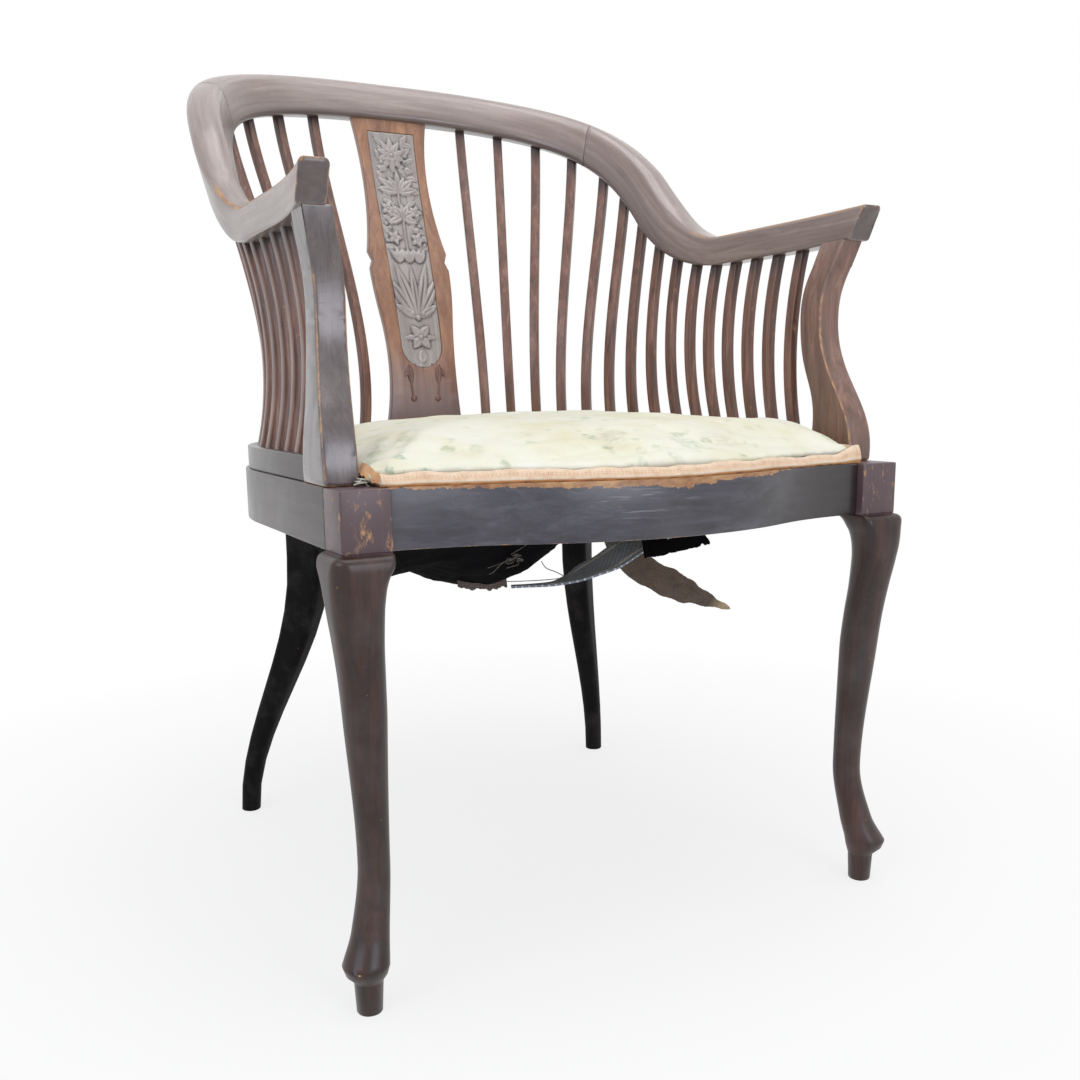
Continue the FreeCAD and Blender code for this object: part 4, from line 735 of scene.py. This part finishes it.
def swept_bow(name, start, end, side, raked, material, cad_node):
    """A length of the arm and crest between two places along it, with eased ends."""
    steps = max(int((end - start) / (4.5 * MM)), 8)
    ease = 1.2 * MM
    # Each station is a place along the bow, and how far its section is drawn in
    stations = [(start, 9), (start, 2.2), (start + 0.3 * ease, 0.7), (start + ease, 0)]
    stations += [(start + ease + (end - start - 2 * ease) * k / steps, 0) for k in range(1, steps)]
    stations += [(end - ease, 0), (end - 0.3 * ease, 0.7), (end, 2.2), (end, 9)]
    points = []
    grain = []
    rubs = []
    end_grain_and_shade = []
    for along, drawn_in in stations:
        mirror = along > CREST_END
        here = 2 * CREST_END - along if mirror else along
        turn = max(here - CREST_STRAIGHT, 0) / CREST_HALF
        normal = np.array([math.cos(turn), math.sin(turn)])
        out = 8 * MM * tip_flare(here)
        out += 24 * MM * math.sin(2 * turn) ** 2 + 5 * MM * math.sin(turn) ** 2
        if here <= CREST_STRAIGHT:
            base = np.array([CREST_HALF, FRONT_LINE + here])
        else:
            base = np.array([0, FRONT_LINE + CREST_STRAIGHT]) + normal * CREST_HALF
        base = base + normal * out
        way = -side if mirror else side
        level = crest_level(here)
        hold = 1 - float(smooth_step((here - ARM_TIP) / (90 * MM))) if raked else 0
        ends = max(0.0, 1 - (here - start) / (3 * MM)) if raked and drawn_in < 5 else 0
        for x, z, rub in section(here):
            inward = 1 - drawn_in * 0.5 * MM / max(math.hypot(x, z), 1e-6)
            place = base + normal * (x * inward)
            points.append((way * place[0], place[1] - TIP_LEAN * z * hold, level + z * inward))
            grain.append((along, x, z))
            edge = ends * (1 if z > 0 else 0.8)
            rubs.append(0 if drawn_in > 5 else max(rub, edge))
            # The end caps take darker end grain, and the underside of the arms and crest takes painted shade
            underside_shade = 0.5 * min(max((-z - 9 * MM) / (9 * MM), 0), 1)
            end_grain_and_shade.append(0.75 if drawn_in > 2 and raked else underside_shade)
    piece = ring_piece(name, points, len(section(start)))
    write_grain(piece, np.array(grain))
    write_layer(piece, "worn", rubs)
    write_layer(piece, "hollow", end_grain_and_shade)
    shade(piece, 40)
    return settle(piece, material, [cad_node])


for side, word in SIDES:
    swept_bow(word + "_arm_wood", ARM_TIP, SCARF - SCARF_GAP, side, True, bow_wood_painted_sheen, word + "_arm")
swept_bow("crest_rail_wood", SCARF + SCARF_GAP, 2 * CREST_END - SCARF - SCARF_GAP, 1, False, bow_wood_painted_sheen,
          "crest_rail")

# Carving on the splat, in millimetres

SPLAT_FOOT = 428
SPLAT_LENGTH = 391


def splat_face(z):
    """How far back the splat's front face stands at a height."""
    t = (z - SPLAT_FOOT) / SPLAT_LENGTH
    return 205.5 + 94 * (3 * t * t - 2 * t ** 3) - 60 * t * (1 - t)


def leaf(x, z, root, angle, length, width, height, vein=0.35):
    """Height of a carved leaf that grows from its root at an angle from upright, in degrees."""
    turn = math.radians(angle)
    along = ((x - root[0]) * math.sin(turn) + (z - root[1]) * math.cos(turn)) / length
    across = (x - root[0]) * math.cos(turn) - (z - root[1]) * math.sin(turn)
    inside = np.clip(along, 0, 1)
    half = width / 2 * np.sin(math.pi * inside ** 0.8) ** 0.75 + 1e-6
    share = np.abs(across) / half
    dome = np.sqrt(np.clip(1 - share * share, 0, 1)) * (0.55 + 0.45 * np.sin(math.pi * inside))
    groove = vein * np.exp(-(across / (0.09 * width + 0.25)) ** 2) * np.sin(math.pi * inside)
    return np.where((along > 0) & (along < 1) & (share < 1), height * np.clip(dome - groove, 0, 1), 0)


def berry(x, z, middle, radius, height):
    far = ((x - middle[0]) ** 2 + (z - middle[1]) ** 2) / radius ** 2
    return height * np.sqrt(np.clip(1 - far, 0, 1))


def stem(x, z, points, width, height):
    """A carved stem through a run of points."""
    best = np.full(len(x), 1e9)
    for (ax, az), (bx, bz) in zip(points, points[1:]):
        length = (bx - ax) ** 2 + (bz - az) ** 2
        share = np.clip(((x - ax) * (bx - ax) + (z - az) * (bz - az)) / length, 0, 1)
        best = np.minimum(best, np.hypot(x - ax - share * (bx - ax), z - az - share * (bz - az)))
    return height * np.sqrt(np.clip(1 - (best / (width / 2)) ** 2, 0, 1))


# The rose at the top and the bow of petals at the foot
ROSE = (-3, 769)
BOW = (0, 549)
# Leaves round the rose: root, angle, length and width
ROSE_LEAVES = (((-14, 781), -40, 13, 7), ((12, 784), 35, 13, 7), ((-10, 757), -130, 14, 7),
               ((5, 754), 140, 13, 7), ((18, 788), 5, 8, 5), ((-22, 775), 170, 12, 5))
ROSE_BERRIES = (((13, 776), 2.6), ((16, 769), 2.3), ((14, 762), 2.6), ((10, 755), 2.3), ((-16, 760), 2.2))
SPRAY_BERRIES = ((-22, 685), (-18, 680), (21, 683), (17, 678), (-24, 664), (23, 660), (-20, 655), (20, 652))
# Leaf sprays and palm blades: angle and length, and width where it varies
UPPER_SPRAY = ((-82, 26, 12), (-55, 27, 12), (-30, 22, 9), (80, 26, 12), (52, 27, 12), (28, 21, 9))
LOWER_SPRAY = ((-115, 20), (-70, 22), (70, 22), (112, 20), (-38, 17), (36, 17))
PALM_BLADES = ((-33, 64, 14), (-16, 68, 13), (0, 62, 10), (16, 68, 13), (33, 64, 14))


def carved_height(x, z):
    """The spray of flowers and palm leaves on the sunk panel, in millimetres above its ground."""
    grow = partial(leaf, x, z)
    bead = partial(berry, x, z)
    parts = [stem(x, z, ((0, 752), (1.5, 735), (-1, 715), (1, 695), (0, 672), (0, 640)), 3, 1.5)]
    # Small leaves fill the ground behind the flowers, and fine tool marks lie between them
    draw = np.random.default_rng(41)
    for level in np.arange(644, 792, 7.5):
        for side in (-1, 1):
            root = (side * draw.uniform(5, 17), level + draw.uniform(-3, 3))
            turn = side * draw.uniform(15, 110)
            parts.append(grow(root, turn, draw.uniform(12, 18), draw.uniform(6, 9), draw.uniform(1.1, 1.7)))
    parts.append(0.25 + 0.25 * np.sin(x * 2.1 + np.sin(z * 0.9)) * np.sin(z * 1.7 + np.sin(x * 0.8)))
    # Open rose at the top, an oval of petals round a bud, with leaves and berries
    for ring, count, reach, wide, rise in ((0, 10, 16, 9.5, 2.4), (20, 7, 10, 7.5, 3.1)):
        for k in range(count):
            turn = ring + 360 * k / count
            lift = 1 + 0.35 * abs(math.cos(math.radians(turn)))
            parts.append(grow(ROSE, turn, reach * lift, wide, rise, 0.2))
    parts.append(bead(ROSE, 3.4, 3.6))
    parts += [bead(place, radius, 2.4) for place, radius in ROSE_BERRIES]
    parts += [grow(*shape, 1.7) for shape in ROSE_LEAVES]
    # Leaf sprays and buds below the rose
    parts += [grow((0, 724), *shape, 2.6) for shape in UPPER_SPRAY]
    parts.append(grow((0, 730), 4, 20, 8, 2.8))
    parts += [grow((0, 694), *shape, 11, 2.6) for shape in LOWER_SPRAY]
    parts.append(grow((1, 690), 2, 20, 8, 2.9))
    # Small flowers and berries at both sides
    for middle in ((-17, 703), (18, 700), (-14, 668), (15, 666)):
        parts += [grow(middle, 20 + 72 * k, 9.5, 7, 2.9, 0.15) for k in range(5)]
        parts.append(bead(middle, 2, 3.2))
    parts += [bead(place, 2.6, 2.5) for place in SPRAY_BERRIES]
    # Two tulip heads and a bud between them
    for x_root, tilt in ((-12, -8), (12, 8), (0, 0)):
        parts += [grow((x_root, 638), tilt + angle, 18, 9, 3.2, 0.25) for angle in (-24, 0, 24)]
    # Fan of palm blades from one knot
    for angle, length, width in PALM_BLADES:
        parts.append(grow((angle * 0.06, 572), angle, length, width, 2.6, 0.55))
    parts += [grow((0, 573), angle, 30, 12, 2.2) for angle in (-62, 62)]
    parts += [bead(place, 3.6, 2.8) for place in ((-7, 577), (0, 572), (7, 577))]
    # Bow of four petals with side leaves, and a mound at the panel's foot
    parts += [grow(BOW, angle, 17, 12, 3.0, 0.25) for angle in (40, 140, 220, 320)]
    parts += [grow(BOW, angle, 21, 7, 1.8) for angle in (-92, 92)]
    parts.append(bead(BOW, 3.4, 3.4))
    parts.append(grow((0, 519), 0, 15, 15, 1.6))
    return np.max(parts, 0)


def husk_height(x, z):
    """Two pendant husks with a drop under each, cut below the panel."""
    parts = []
    for side in (-1, 1):
        parts.append(leaf(x, z, (side * 19, 517), 180 + side * 4, 24, 9, 2.2))
        parts.append(leaf(x, z, (side * 19, 514), 180 - side * 30, 14, 6, 1.8))
        parts.append(stem(x, z, ((side * 18, 494), (side * 16, 480)), 2.8, 1.3))
        parts.append(berry(x, z, (side * 15.5, 477), 4, 2.0))
    return np.max(parts, 0)


def hollows(height, x, z, across):
    """How deep each point lies below its neighbours within about 3 mm, from 0 to 1."""
    order = np.lexsort((x, np.round(z, 3)))
    rows = height[order].reshape(-1, across + 1)
    around = np.zeros_like(rows)
    steps = range(-4, 5)
    for up in steps:
        for over in steps:
            around += np.roll(np.roll(rows, up, 0), over, 1)
    deep = np.empty(len(height))
    deep[order] = ((around / len(steps) ** 2 - rows) / 0.75).ravel()
    return np.clip(deep, 0, 1)


def panel_half(z):
    """Half the sunk panel's width, round at its foot."""
    foot = np.sqrt(np.clip(25.6 ** 2 - np.clip(539 - z, 0, 25.5) ** 2, 0.05, None))
    return np.where(z < 539, foot, 25.6 + 4 * (z - 539) / 258)


def carve(name, low, high, spread, height_of, across, along, proud, rim):
    """A carved skin over the splat's face between two heights, and its points' heights and places."""
    made = []

    def place(u, v):
        z = low + (high - low) * v
        x = spread(2 * u - 1, z)
        height = height_of(x, z)
        made.append((height, x, z))
        edge = np.minimum(np.minimum(u, 1 - u) * across, np.minimum(v, 1 - v) * along)
        rise = np.where(edge < 0.5, -0.3, height) if rim else height
        return np.stack([x, splat_face(z) - (rise - proud), z], 1) * MM

    piece = grid_piece(name, across, along, place)
    return piece, *made[0]


def finish_carving(piece, material, worn, hollow):
    write_layer(piece, "worn", worn)
    write_layer(piece, "hollow", hollow)
    shade(piece, 80)
    return settle(piece, material)


PANEL_CELLS = 76
panel, height, x, z = carve("splat_carving", 513.6, 796.4, lambda share, z: share * panel_half(z),
                            carved_height, PANEL_CELLS, 352, 0.6, True)
write_grain(panel, np.stack([z, x, height], 1) * MM)
# The carving's hollows darken with dark wax and with painted shade
finish_carving(panel, carved_wood, np.zeros(len(x)), hollows(height, x, z, PANEL_CELLS))
for side, word in SIDES:
    husk, height, x, z = carve(word + "_pendant_husk", 472, 518, lambda share, z: side * 17.5 + share * 8,
                               husk_height, 26, 74, 0.25, False)
    write_layer(husk, "grain", np.stack([z, x, height], 1) * MM)
    finish_carving(husk, spindle_wood, np.clip((height - 0.8) / 0.8, 0, 0.8), np.zeros(len(x)))

# Stuffed seat

PAD_FOOT = 420.4 * MM
TACK_LEVEL = 426 * MM
MOST_SWELL = 3.5 * MM


def front_face(x):
    """The front rail's serpentine face, in metres."""
    return FRONT_LINE + 8 * MM - 24 * MM * (1 + np.cos(np.pi * np.clip(np.abs(x) / (230 * MM), 0, 1)))


seat = copy_of("seat_stuffing", "stuffed_seat")
remesh = seat.modifiers.new("even_skin", "REMESH")
remesh.mode = "VOXEL"
remesh.voxel_size = 5 * MM
apply(seat, remesh)
start = points_of(seat)
start[:, 2] = PAD_FOOT + (start[:, 2] - PAD_FOOT) * 0.9
place_points(seat, start)
held = seat.vertex_groups.new(name="tacked")
held.add([int(k) for k in np.flatnonzero(start[:, 2] < TACK_LEVEL)], 1.0, "REPLACE")
swell = seat.modifiers.new("stuffing", "CLOTH")
swell.settings.quality = 6
swell.settings.use_pressure = True
swell.settings.uniform_pressure_force = 4
swell.settings.vertex_group_mass = "tacked"
swell.settings.tension_stiffness = 20
swell.settings.effector_weights.gravity = 0
for moment in range(1, 21):
    bpy.context.scene.frame_set(moment)
apply(seat, swell)
bpy.context.scene.frame_set(1)
moved = points_of(seat) - start
length = np.linalg.norm(moved, axis=1, keepdims=True)
start = start + moved * np.minimum(1, MOST_SWELL / np.maximum(length, 1e-9))
place_points(seat, start)
seat.vertex_groups.clear()
subdivision = seat.modifiers.new("fine_skin", "SUBSURF")
subdivision.levels = 1
subdivision.render_levels = 1
apply(seat, subdivision)
skin = points_of(seat)
x, y, z = skin.T
upper = smooth_step((z - 424 * MM) / (14 * MM))
behind = y - front_face(x)


def mound(height, across, along, width, depth):
    """A soft rise or hollow of the seat, in millimetres."""
    away = ((x - across * MM) / (width * MM)) ** 2 + ((y - along * MM) / (depth * MM)) ** 2
    return height * MM * np.exp(-away)


def ruck(height, stretch, size, seed):
    """Bumps of the cover, of a height in millimetres, drawn out one way."""
    return height * MM * waves(skin * stretch, size, seed, 2)


sway = mound(-6, 185, -110, 40, 60) + mound(10, 212, -195, 36, 55) + mound(3, 80, 40, 80, 90)
sway += mound(-5, -110, 90, 110, 110) + mound(5, -210, 50, 45, 110)
lump = ruck(2.0, (1, 1, 0), 0.19, 11) + ruck(1.3, (1, 1, 0), 0.07, 12)
crease = mound(-4, -85, -284, 42, 5) + mound(3, -80, -272, 46, 7)
roll = -2.6 * MM * np.exp(-((behind - (30 + 8 * np.sin(x / (45 * MM))) * MM) / (7 * MM)) ** 2)
ripple = ruck(1.1, (1, 0.25, 0), 0.028, 13) * np.exp(-(behind / (38 * MM)) ** 2)
pull = ruck(0.9, (0.4, 1, 0), 0.035, 14) * np.exp(-((SEAT_HALF - np.abs(x)) / (35 * MM)) ** 2)
z = z + upper * (lump + sway + crease + roll + ripple + pull)
place_points(seat, np.stack([x, y, z], 1))
shade(seat, 70)
settle(seat, cotton_print, ["seat_cover", "seat_stuffing"])

# Hem along the front, turned back beside the posts

HEM_CORNER = 234 * MM


def hem_place(u, v):
    """Across the hem from its lower edge, and along it from the left post to the right one."""
    run = (2 * v - 1) * 262 * MM
    x = np.clip(run, -HEM_CORNER, HEM_CORNER)
    back = np.clip(np.abs(run) - HEM_CORNER, 0, None)
    wobble = line_waves(run, 0.05, 21)
    fray = line_waves(run, 0.009, 22, 2) * np.where(u < 0.1, 1, 0)
    shares = (0, 0.15, 0.27, 0.36, 0.7, 1)
    inset = np.interp(u, shares, (2.6, 1.6, 0.9, 1.6, 2.8, 5.5)) * MM
    lift = np.interp(u, shares, (0.5, 1.6, 3.0, 4.0, 7.0, 9.2)) * MM
    curl = 8 * MM * smooth_step((run - 205 * MM) / (26 * MM)) * u
    y = front_face(x) + inset + back + 0.5 * MM * wobble * (1 - u)
    z = SEAT_TOP + lift * (1 + 0.14 * wobble) + 0.7 * MM * wobble * u + 0.5 * MM * fray + curl
    return np.stack([x - np.sign(run) * inset * smooth_step(back / (12 * MM)), y, z], 1)


def sheet_piece(name, across, along, place, thickness, offset=0):
    """A thin cloth over a grid."""
    piece = grid_piece(name, across, along, place)
    thicken(piece, thickness * MM, offset)
    shade(piece, 60)
    return piece


hem = sheet_piece("front_hem", 12, 300, hem_place, 1.0)
settle(hem, braid(), ["seat_braid"])

# Cloths under the seat, in millimetres

def strip(name, stations, width_way, across, along, ragged, seed, thickness):
    """A ribbon through stations of place and width, with torn edges."""
    ends = np.linspace(0, 1, len(stations))
    rows = np.array(stations, float) * MM

    def place(u, v):
        line = np.stack([smooth_through(ends, rows[:, k], v) for k in range(4)], 1)
        way = np.stack([np.interp(v, ends, [w[k] for w in width_way]) for k in range(3)], 1)
        way /= np.linalg.norm(way, axis=1, keepdims=True)
        edge = 2 * u - 1
        tear = ragged * line_waves(v * 0.3, 0.03, seed) * np.abs(edge) ** 6
        half = line[:, 3] / 2 + tear * MM
        ruffle = waves(np.stack([v * 0.25, u * 0.05, u * 0], 1), 0.06, seed + 1) * 1.6 * MM
        points = line[:, :3] + way * (edge * half)[:, None]
        points[:, 2] += ruffle * np.sin(np.pi * v)
        return points

    return sheet_piece(name, across, along, place, thickness)


def threads(name, runs, thickness, material):
    """Loose threads along smooth lines, as thin tubes in one piece."""
    made = []
    for run in runs:
        line = bpy.data.curves.new(name, "CURVE")
        line.dimensions = "3D"
        line.bevel_depth = thickness / 2 * MM
        line.bevel_resolution = 1
        line.resolution_u = 5
        line.use_fill_caps = True
        spline = line.splines.new("NURBS")
        spline.points.add(len(run) - 1)
        for point, place in zip(spline.points, run):
            point.co = (*(np.array(place) * MM), 1)
        spline.order_u = 3
        spline.use_endpoint_u = True
        holder = bpy.data.objects.new(name, line)
        bpy.context.scene.collection.objects.link(holder)
        activate(holder)
        bpy.ops.object.convert(target="MESH")
        made.append(bpy.context.object)
    piece = join(made, name)
    shade(piece, 60)
    return settle(piece, material)


def tangle(middle, reach, count, seed):
    """Runs of points for a tangle of threads that wander about a middle."""
    draw = np.random.default_rng(seed)
    runs = []
    for _ in range(count):
        place = np.array(middle) + draw.normal(size=3) * reach * 0.5
        way = draw.normal(size=3)
        run = [place]
        for _ in range(6):
            way = 0.6 * way + 0.8 * draw.normal(size=3)
            place = place + way * reach * 0.3
            run.append(place)
        runs.append(run)
    return runs


# The hanging strap's pale tints are painted light, raised against the shade under the seat
jute = cloth("woven jute webbing with painted light", "#d3dbe3", "#848c94", 2.2, (0.05, 0.2), stripe="#efebdf")
strap = strip("hanging_webbing", ((88, -267, 366.4, 50), (62, -262, 365.6, 50), (40, -252, 362.5, 50),
                                  (14, -238, 351, 50), (-16, -222, 329, 48), (-50, -212, 317.5, 36),
                                  (-92, -205, 317, 20)),
              ((0.15, 1, 0), (0.05, 1, 0), (-0.15, 1, -0.03), (-0.36, 0.93, -0.12), (-0.36, 0.92, -0.1),
               (0.3, 0.93, -0.12), (0.42, 0.88, -0.1)), 16, 130, 0.8, 31, 1.8)
settle(strap, jute, ["loose_webbing_strap"])

sacking = cloth("coarse jute hessian", "#84705f", "#372b26", 1.6, (0.05, 0.24), tip="#c8ae88")
tail = strip("torn_hessian", ((-12, -174.5, 413, 44), (12, -177, 370, 40), (50, -182, 323, 29),
                              (95, -185, 297, 27), (125, -186, 283.5, 16), (159, -187, 269.5, 1.5)),
             ((-0.2, 1, 0.2), (0.35, 0.8, 0.5), (0.5, 0.05, 0.85), (0.5, -0.1, 0.85), (0.5, -0.1, 0.85),
              (0.5, -0.1, 0.85)), 22, 120, 0.9, 41, 1.4)
settle(tail, sacking, ["torn_hessian_tail"])

DUST_LEFT = -247
DUST_FRONT = -266
DUST_TOP = 366.9
# How far the cover hangs, at places across it
HANG_PLACES = (0, 0.1, 0.22, 0.34, 0.45, 0.6, 0.78, 0.9, 1)
HANG_SHARES = (0, 0.42, 0.75, 0.66, 0.6, 0.83, 1, 0.85, 0.55)


def dust_place(u, v):
    """The torn dust cover: across from the left rail, and back from the front rail."""
    shares = (0, 0.1, 0.32, 0.55, 0.8, 1)
    sag = smooth_through(np.linspace(0, 1, 6), np.array((0.02, 0.06, 0.7, 0.98, 0.8, 0.6)),
                         np.interp(v, shares, np.linspace(0, 1, 6)))
    wide = np.interp(v, shares, (0.72, 0.72, 0.7, 0.62, 0.55, 0.45))
    spread = np.stack([v * 0.19, u * 0.2, u * 0], 1)
    tear = 16 * line_waves(v * 0.19, 0.05, 51) * u ** 5
    back = 14 * line_waves(u * 0.19, 0.045, 52) * v ** 5
    x = DUST_LEFT + u * 270 * wide + tear
    y = DUST_FRONT + v * 186 + back
    hang = np.interp(u, HANG_PLACES, HANG_SHARES)
    fold = waves(spread, 0.05, 53) * 3.2 * np.sin(np.pi * np.clip(u, 0, 1)) * np.clip(v * 4, 0, 1)
    z = DUST_TOP - 55 * np.clip(sag, 0, 1) * hang + fold
    return np.stack([x, y, np.minimum(z, DUST_TOP)], 1) * MM


dust = sheet_piece("torn_dust_cover", 90, 84, dust_place, 1.0, -1)
cambric = cloth("black glazed cambric", "#0d0c0f", "#050406", 1.2, (0.21, 0.2), fuzz=0.0, specular=0.08)
settle(dust, cambric, ["dust_cover"])
# A torn edge of lining, loose threads and a tangle of tow hang from the dust cover
lining = cloth("frayed brown lining", "#8d7d72", "#4a3f39", 1.6, (0.009, 0.05))
edge = strip("torn_lining_edge", ((-133, -183, 320, 7), (-108, -181, 316.5, 9), (-84, -180, 316, 8)),
             ((0, 0.2, 1),) * 3, 6, 40, 1.5, 61, 1.0)
settle(edge, lining)
tow = plain_finish("loose flax tow", "#7d766d", "#46403a", (300, 300, 300), 0.9)
tow_place = dust_place(np.array([0.74]), np.array([0.2]))[0] / MM - np.array([0, 4, 4])
runs = tangle(tow_place, np.array([9, 3, 5]), 14, 71)
runs.append([(-84, -180, 317), (-60, -184, 316), (-30, -196, 318), (-14, -208, 324)])
runs.append([(-62, -205, 337), (-58, -203, 330), (-46, -203, 326), (-38, -204, 321)])
runs.append([(-100, -262, 365), (-106, -255, 358), (-112, -246, 352)])
tufts = threads("loose_tow_threads", runs, 0.8, tow)

scrap = strip("dust_cover_scrap", ((2, -268, 355, 25), (30, -266, 356, 23), (56, -264, 357, 19),
                                   (70, -262, 354, 11), (77, -262, 350, 1.5)),
              ((0, 0.3, 1),) * 5, 12, 60, 1.5, 81, 0.8)
settle(scrap, cambric)

# Torn corner of the hem beside the left post, with a tuft of wadding under it
orange = cloth("torn orange cotton", "#f2c294", "#d39a62", 1.2, (0.009, 0.04))
flap = strip("hem_torn_corner", ((-240, -249, 429, 7), (-238.5, -257, 426, 9), (-234, -268, 421.5, 9),
                                 (-222, -277, 419.5, 6)),
             ((0.5, 0.2, 0.85), (0.55, 0.2, 0.8), (0.45, 0.3, 0.8), (0.2, 0.4, 0.9)), 10, 50, 0.7, 91, 1.0)
settle(flap, orange)
wadding = plain_finish("white cotton wadding", "#dcdccf", "#b0ad98", (200, 200, 200), 0.95)
wisps = tangle((-241, -262, 418.5), np.array([4, 4, 1.2]), 10, 95)
tuft = threads("wadding_tuft", wisps, 1.2, wadding)

# Webbing and hessian under the seat, in millimetres

WEB_WIDTH = 50
WEB_GAP = 105
WEB_FRONT = -266
WEB_LEVEL = 417.0
CENTRE = SEAT_CENTRE / MM


def web_place(middle, long_way, number, u, v):
    """A strap of webbing from front to back or from side to side, over and under the others."""
    if long_way:
        reach = math.sqrt(229.5 ** 2 - middle ** 2) + CENTRE
        x = middle + (u - 0.5) * WEB_WIDTH
        y = WEB_FRONT + (reach - WEB_FRONT) * v
        run = y
    else:
        reach = 229 if middle < CENTRE else math.sqrt(229 ** 2 - (middle - CENTRE) ** 2)
        y = middle + (u - 0.5) * WEB_WIDTH
        x = (2 * v - 1) * reach
        run = x + WEB_GAP
    over = 1 if long_way else -1
    weave = np.cos(np.pi * (run / WEB_GAP + number)) * over * 0.8
    return np.stack([x, y, WEB_LEVEL + weave], 1) * MM


straps = []
for number in range(3):
    for long_way in (True, False):
        middle = (number - 1) * WEB_GAP if long_way else -196 + number * WEB_GAP
        ribbon = grid_piece("webbing", 10, 90, partial(web_place, middle, long_way, number))
        thicken(ribbon, 1.6 * MM)
        straps.append(ribbon)
webbing = join(straps, "seat_webbing_straps")
shade(webbing, 50)
seat_jute = cloth("soiled jute webbing", "#8b8068", "#4d4536", 2.2, (0.05, 0.46), stripe="#6b5236")
settle(webbing, seat_jute, ["seat_webbing"])


def hessian_place(u, v):
    """The hessian over the webbing, drawn to the seat's outline and slightly slack."""
    x = (2 * u - 1) * 234
    front = front_face(x * MM) / MM + 14
    back = CENTRE + np.sqrt(np.clip(235 ** 2 - x ** 2, 0, None))
    y = front + (back - front) * v
    slack = 0.35 * np.sin(x / 17) * np.sin(y / 17)
    return np.stack([x, y, 419.6 + slack], 1) * MM


hessian = sheet_piece("seat_hessian_sheet", 90, 100, hessian_place, 0.9)
seat_sacking = cloth("stretched jute hessian", "#a48c68", "#5d4a35", 2.4, (0.47, 0.51))
settle(hessian, seat_sacking, ["seat_hessian"])

# Hidden blocks, screws and dowels keep their CAD shapes

for name, finish in (("front_left_corner_block", beech), ("front_right_corner_block", beech),
                     ("dowels", beech), ("corner_block_screws", steel)):
    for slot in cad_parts[name].material_slots:
        slot.material = finish

# Stage, light and camera

bpy.ops.object.select_all(action="DESELECT")
bpy.ops.mesh.primitive_plane_add(size=12, location=(0, 0, 0))
floor = bpy.context.object
floor.name = "studio_floor"
material, add = new_material("pale studio floor")
camera_ray = add("LightPath", out="Is Camera Ray")
glossy_ray = camera_ray.node.outputs["Is Glossy Ray"]
seen = add("Math", {0: camera_ray, 1: glossy_ray}, operation="MAXIMUM")
paper = add("BsdfDiffuse", {"Color": colour("#f4f3f1")})
glow = add("Emission", {"Color": colour("#ffffff"), "Strength": 1.0})
# The white takes over from the lit paper away from the chair, so that no horizon shows
place = add("TexCoord", out="Object")
away = add("VectorMath", {0: place}, out="Value", operation="LENGTH")
white_share = add("MapRange", span(away, 0.35, 0.95, 0.78))
share = add("Math", {0: seen, 1: white_share}, operation="MULTIPLY")
mixed = add("MixShader", {0: share, 1: paper, 2: glow})
add("OutputMaterial", {"Surface": mixed})
floor.data.materials.append(material)

# Cameras and polished faces see white all round, and the rest is lit softly
world = bpy.data.worlds.new("white studio")
bpy.context.scene.world = world
world.use_nodes = True
world.node_tree.nodes.clear()
add = partial(node, world.node_tree)
camera_ray = add("LightPath", out="Is Camera Ray")
rays = camera_ray.node.outputs
direct = add("Math", {0: camera_ray, 1: rays["Is Transmission Ray"]}, operation="MAXIMUM")
seen = add("Math", {0: direct, 1: rays["Is Glossy Ray"]}, operation="MAXIMUM")
soft = add("Background", {"Color": colour("#f3f5f8"), "Strength": 0.42})
white = add("Background", {"Color": colour("#ffffff"), "Strength": 1.0})
mixed = add("MixShader", {0: seen, 1: soft, 2: white})
add("OutputWorld", {"Surface": mixed})


def softbox(name, place, target, size, watts, tint):
    """A square soft light aimed at a point."""
    lamp = bpy.data.lights.new(name, "AREA")
    lamp.shape = "SQUARE"
    lamp.size = size
    lamp.energy = watts
    lamp.color = colour(tint)[:3]
    holder = bpy.data.objects.new(name, lamp)
    bpy.context.scene.collection.objects.link(holder)
    holder.location = place
    holder.rotation_mode = "QUATERNION"
    holder.rotation_quaternion = (Vector(target) - Vector(place)).to_track_quat("-Z", "Y")


softbox("window_left", (-1.9, -0.9, 1.5), (0, 0, 0.5), 1.5, 15, "#e6eeff")
softbox("overhead", (0.2, -0.3, 2.6), (0, 0, 0.4), 1.8, 24, "#ffffff")
softbox("front_fill", (0.35, -2.2, 0.95), (0, 0, 0.5), 1.0, 12, "#eef2ff")

# The camera stands where the photographer stood, in radians, metres and pixels of the photo
YAW = 0.4706
PITCH = 0.1835
ROLL = 0.0115
FOCAL = 1105.9
FRAME = 1080
MIDDLE_X = 521.02
MIDDLE_Y = 596.62
STAND = (-0.51392, -1.05306, 0.48381)
SENSOR = 36
forward = Vector((math.sin(YAW) * math.cos(PITCH), math.cos(YAW) * math.cos(PITCH), -math.sin(PITCH)))
right = Vector((math.cos(YAW), -math.sin(YAW), 0))
down = forward.cross(right)
turned_right = right * math.cos(ROLL) + down * math.sin(ROLL)
turned_down = down * math.cos(ROLL) - right * math.sin(ROLL)
camera_data = bpy.data.cameras.new("photographer")
camera_data.sensor_width = SENSOR
camera_data.lens = SENSOR * FOCAL / FRAME
camera_data.shift_x = (FRAME / 2 - MIDDLE_X) / FRAME
camera_data.shift_y = (MIDDLE_Y - FRAME / 2) / FRAME
camera = bpy.data.objects.new("photographer", camera_data)
bpy.context.scene.collection.objects.link(camera)
turn = Matrix((turned_right, -turned_down, -forward)).transposed()
camera.matrix_world = Matrix.Translation(STAND) @ turn.to_4x4()
bpy.context.scene.camera = camera
bpy.context.scene.view_settings.view_transform = "Standard"
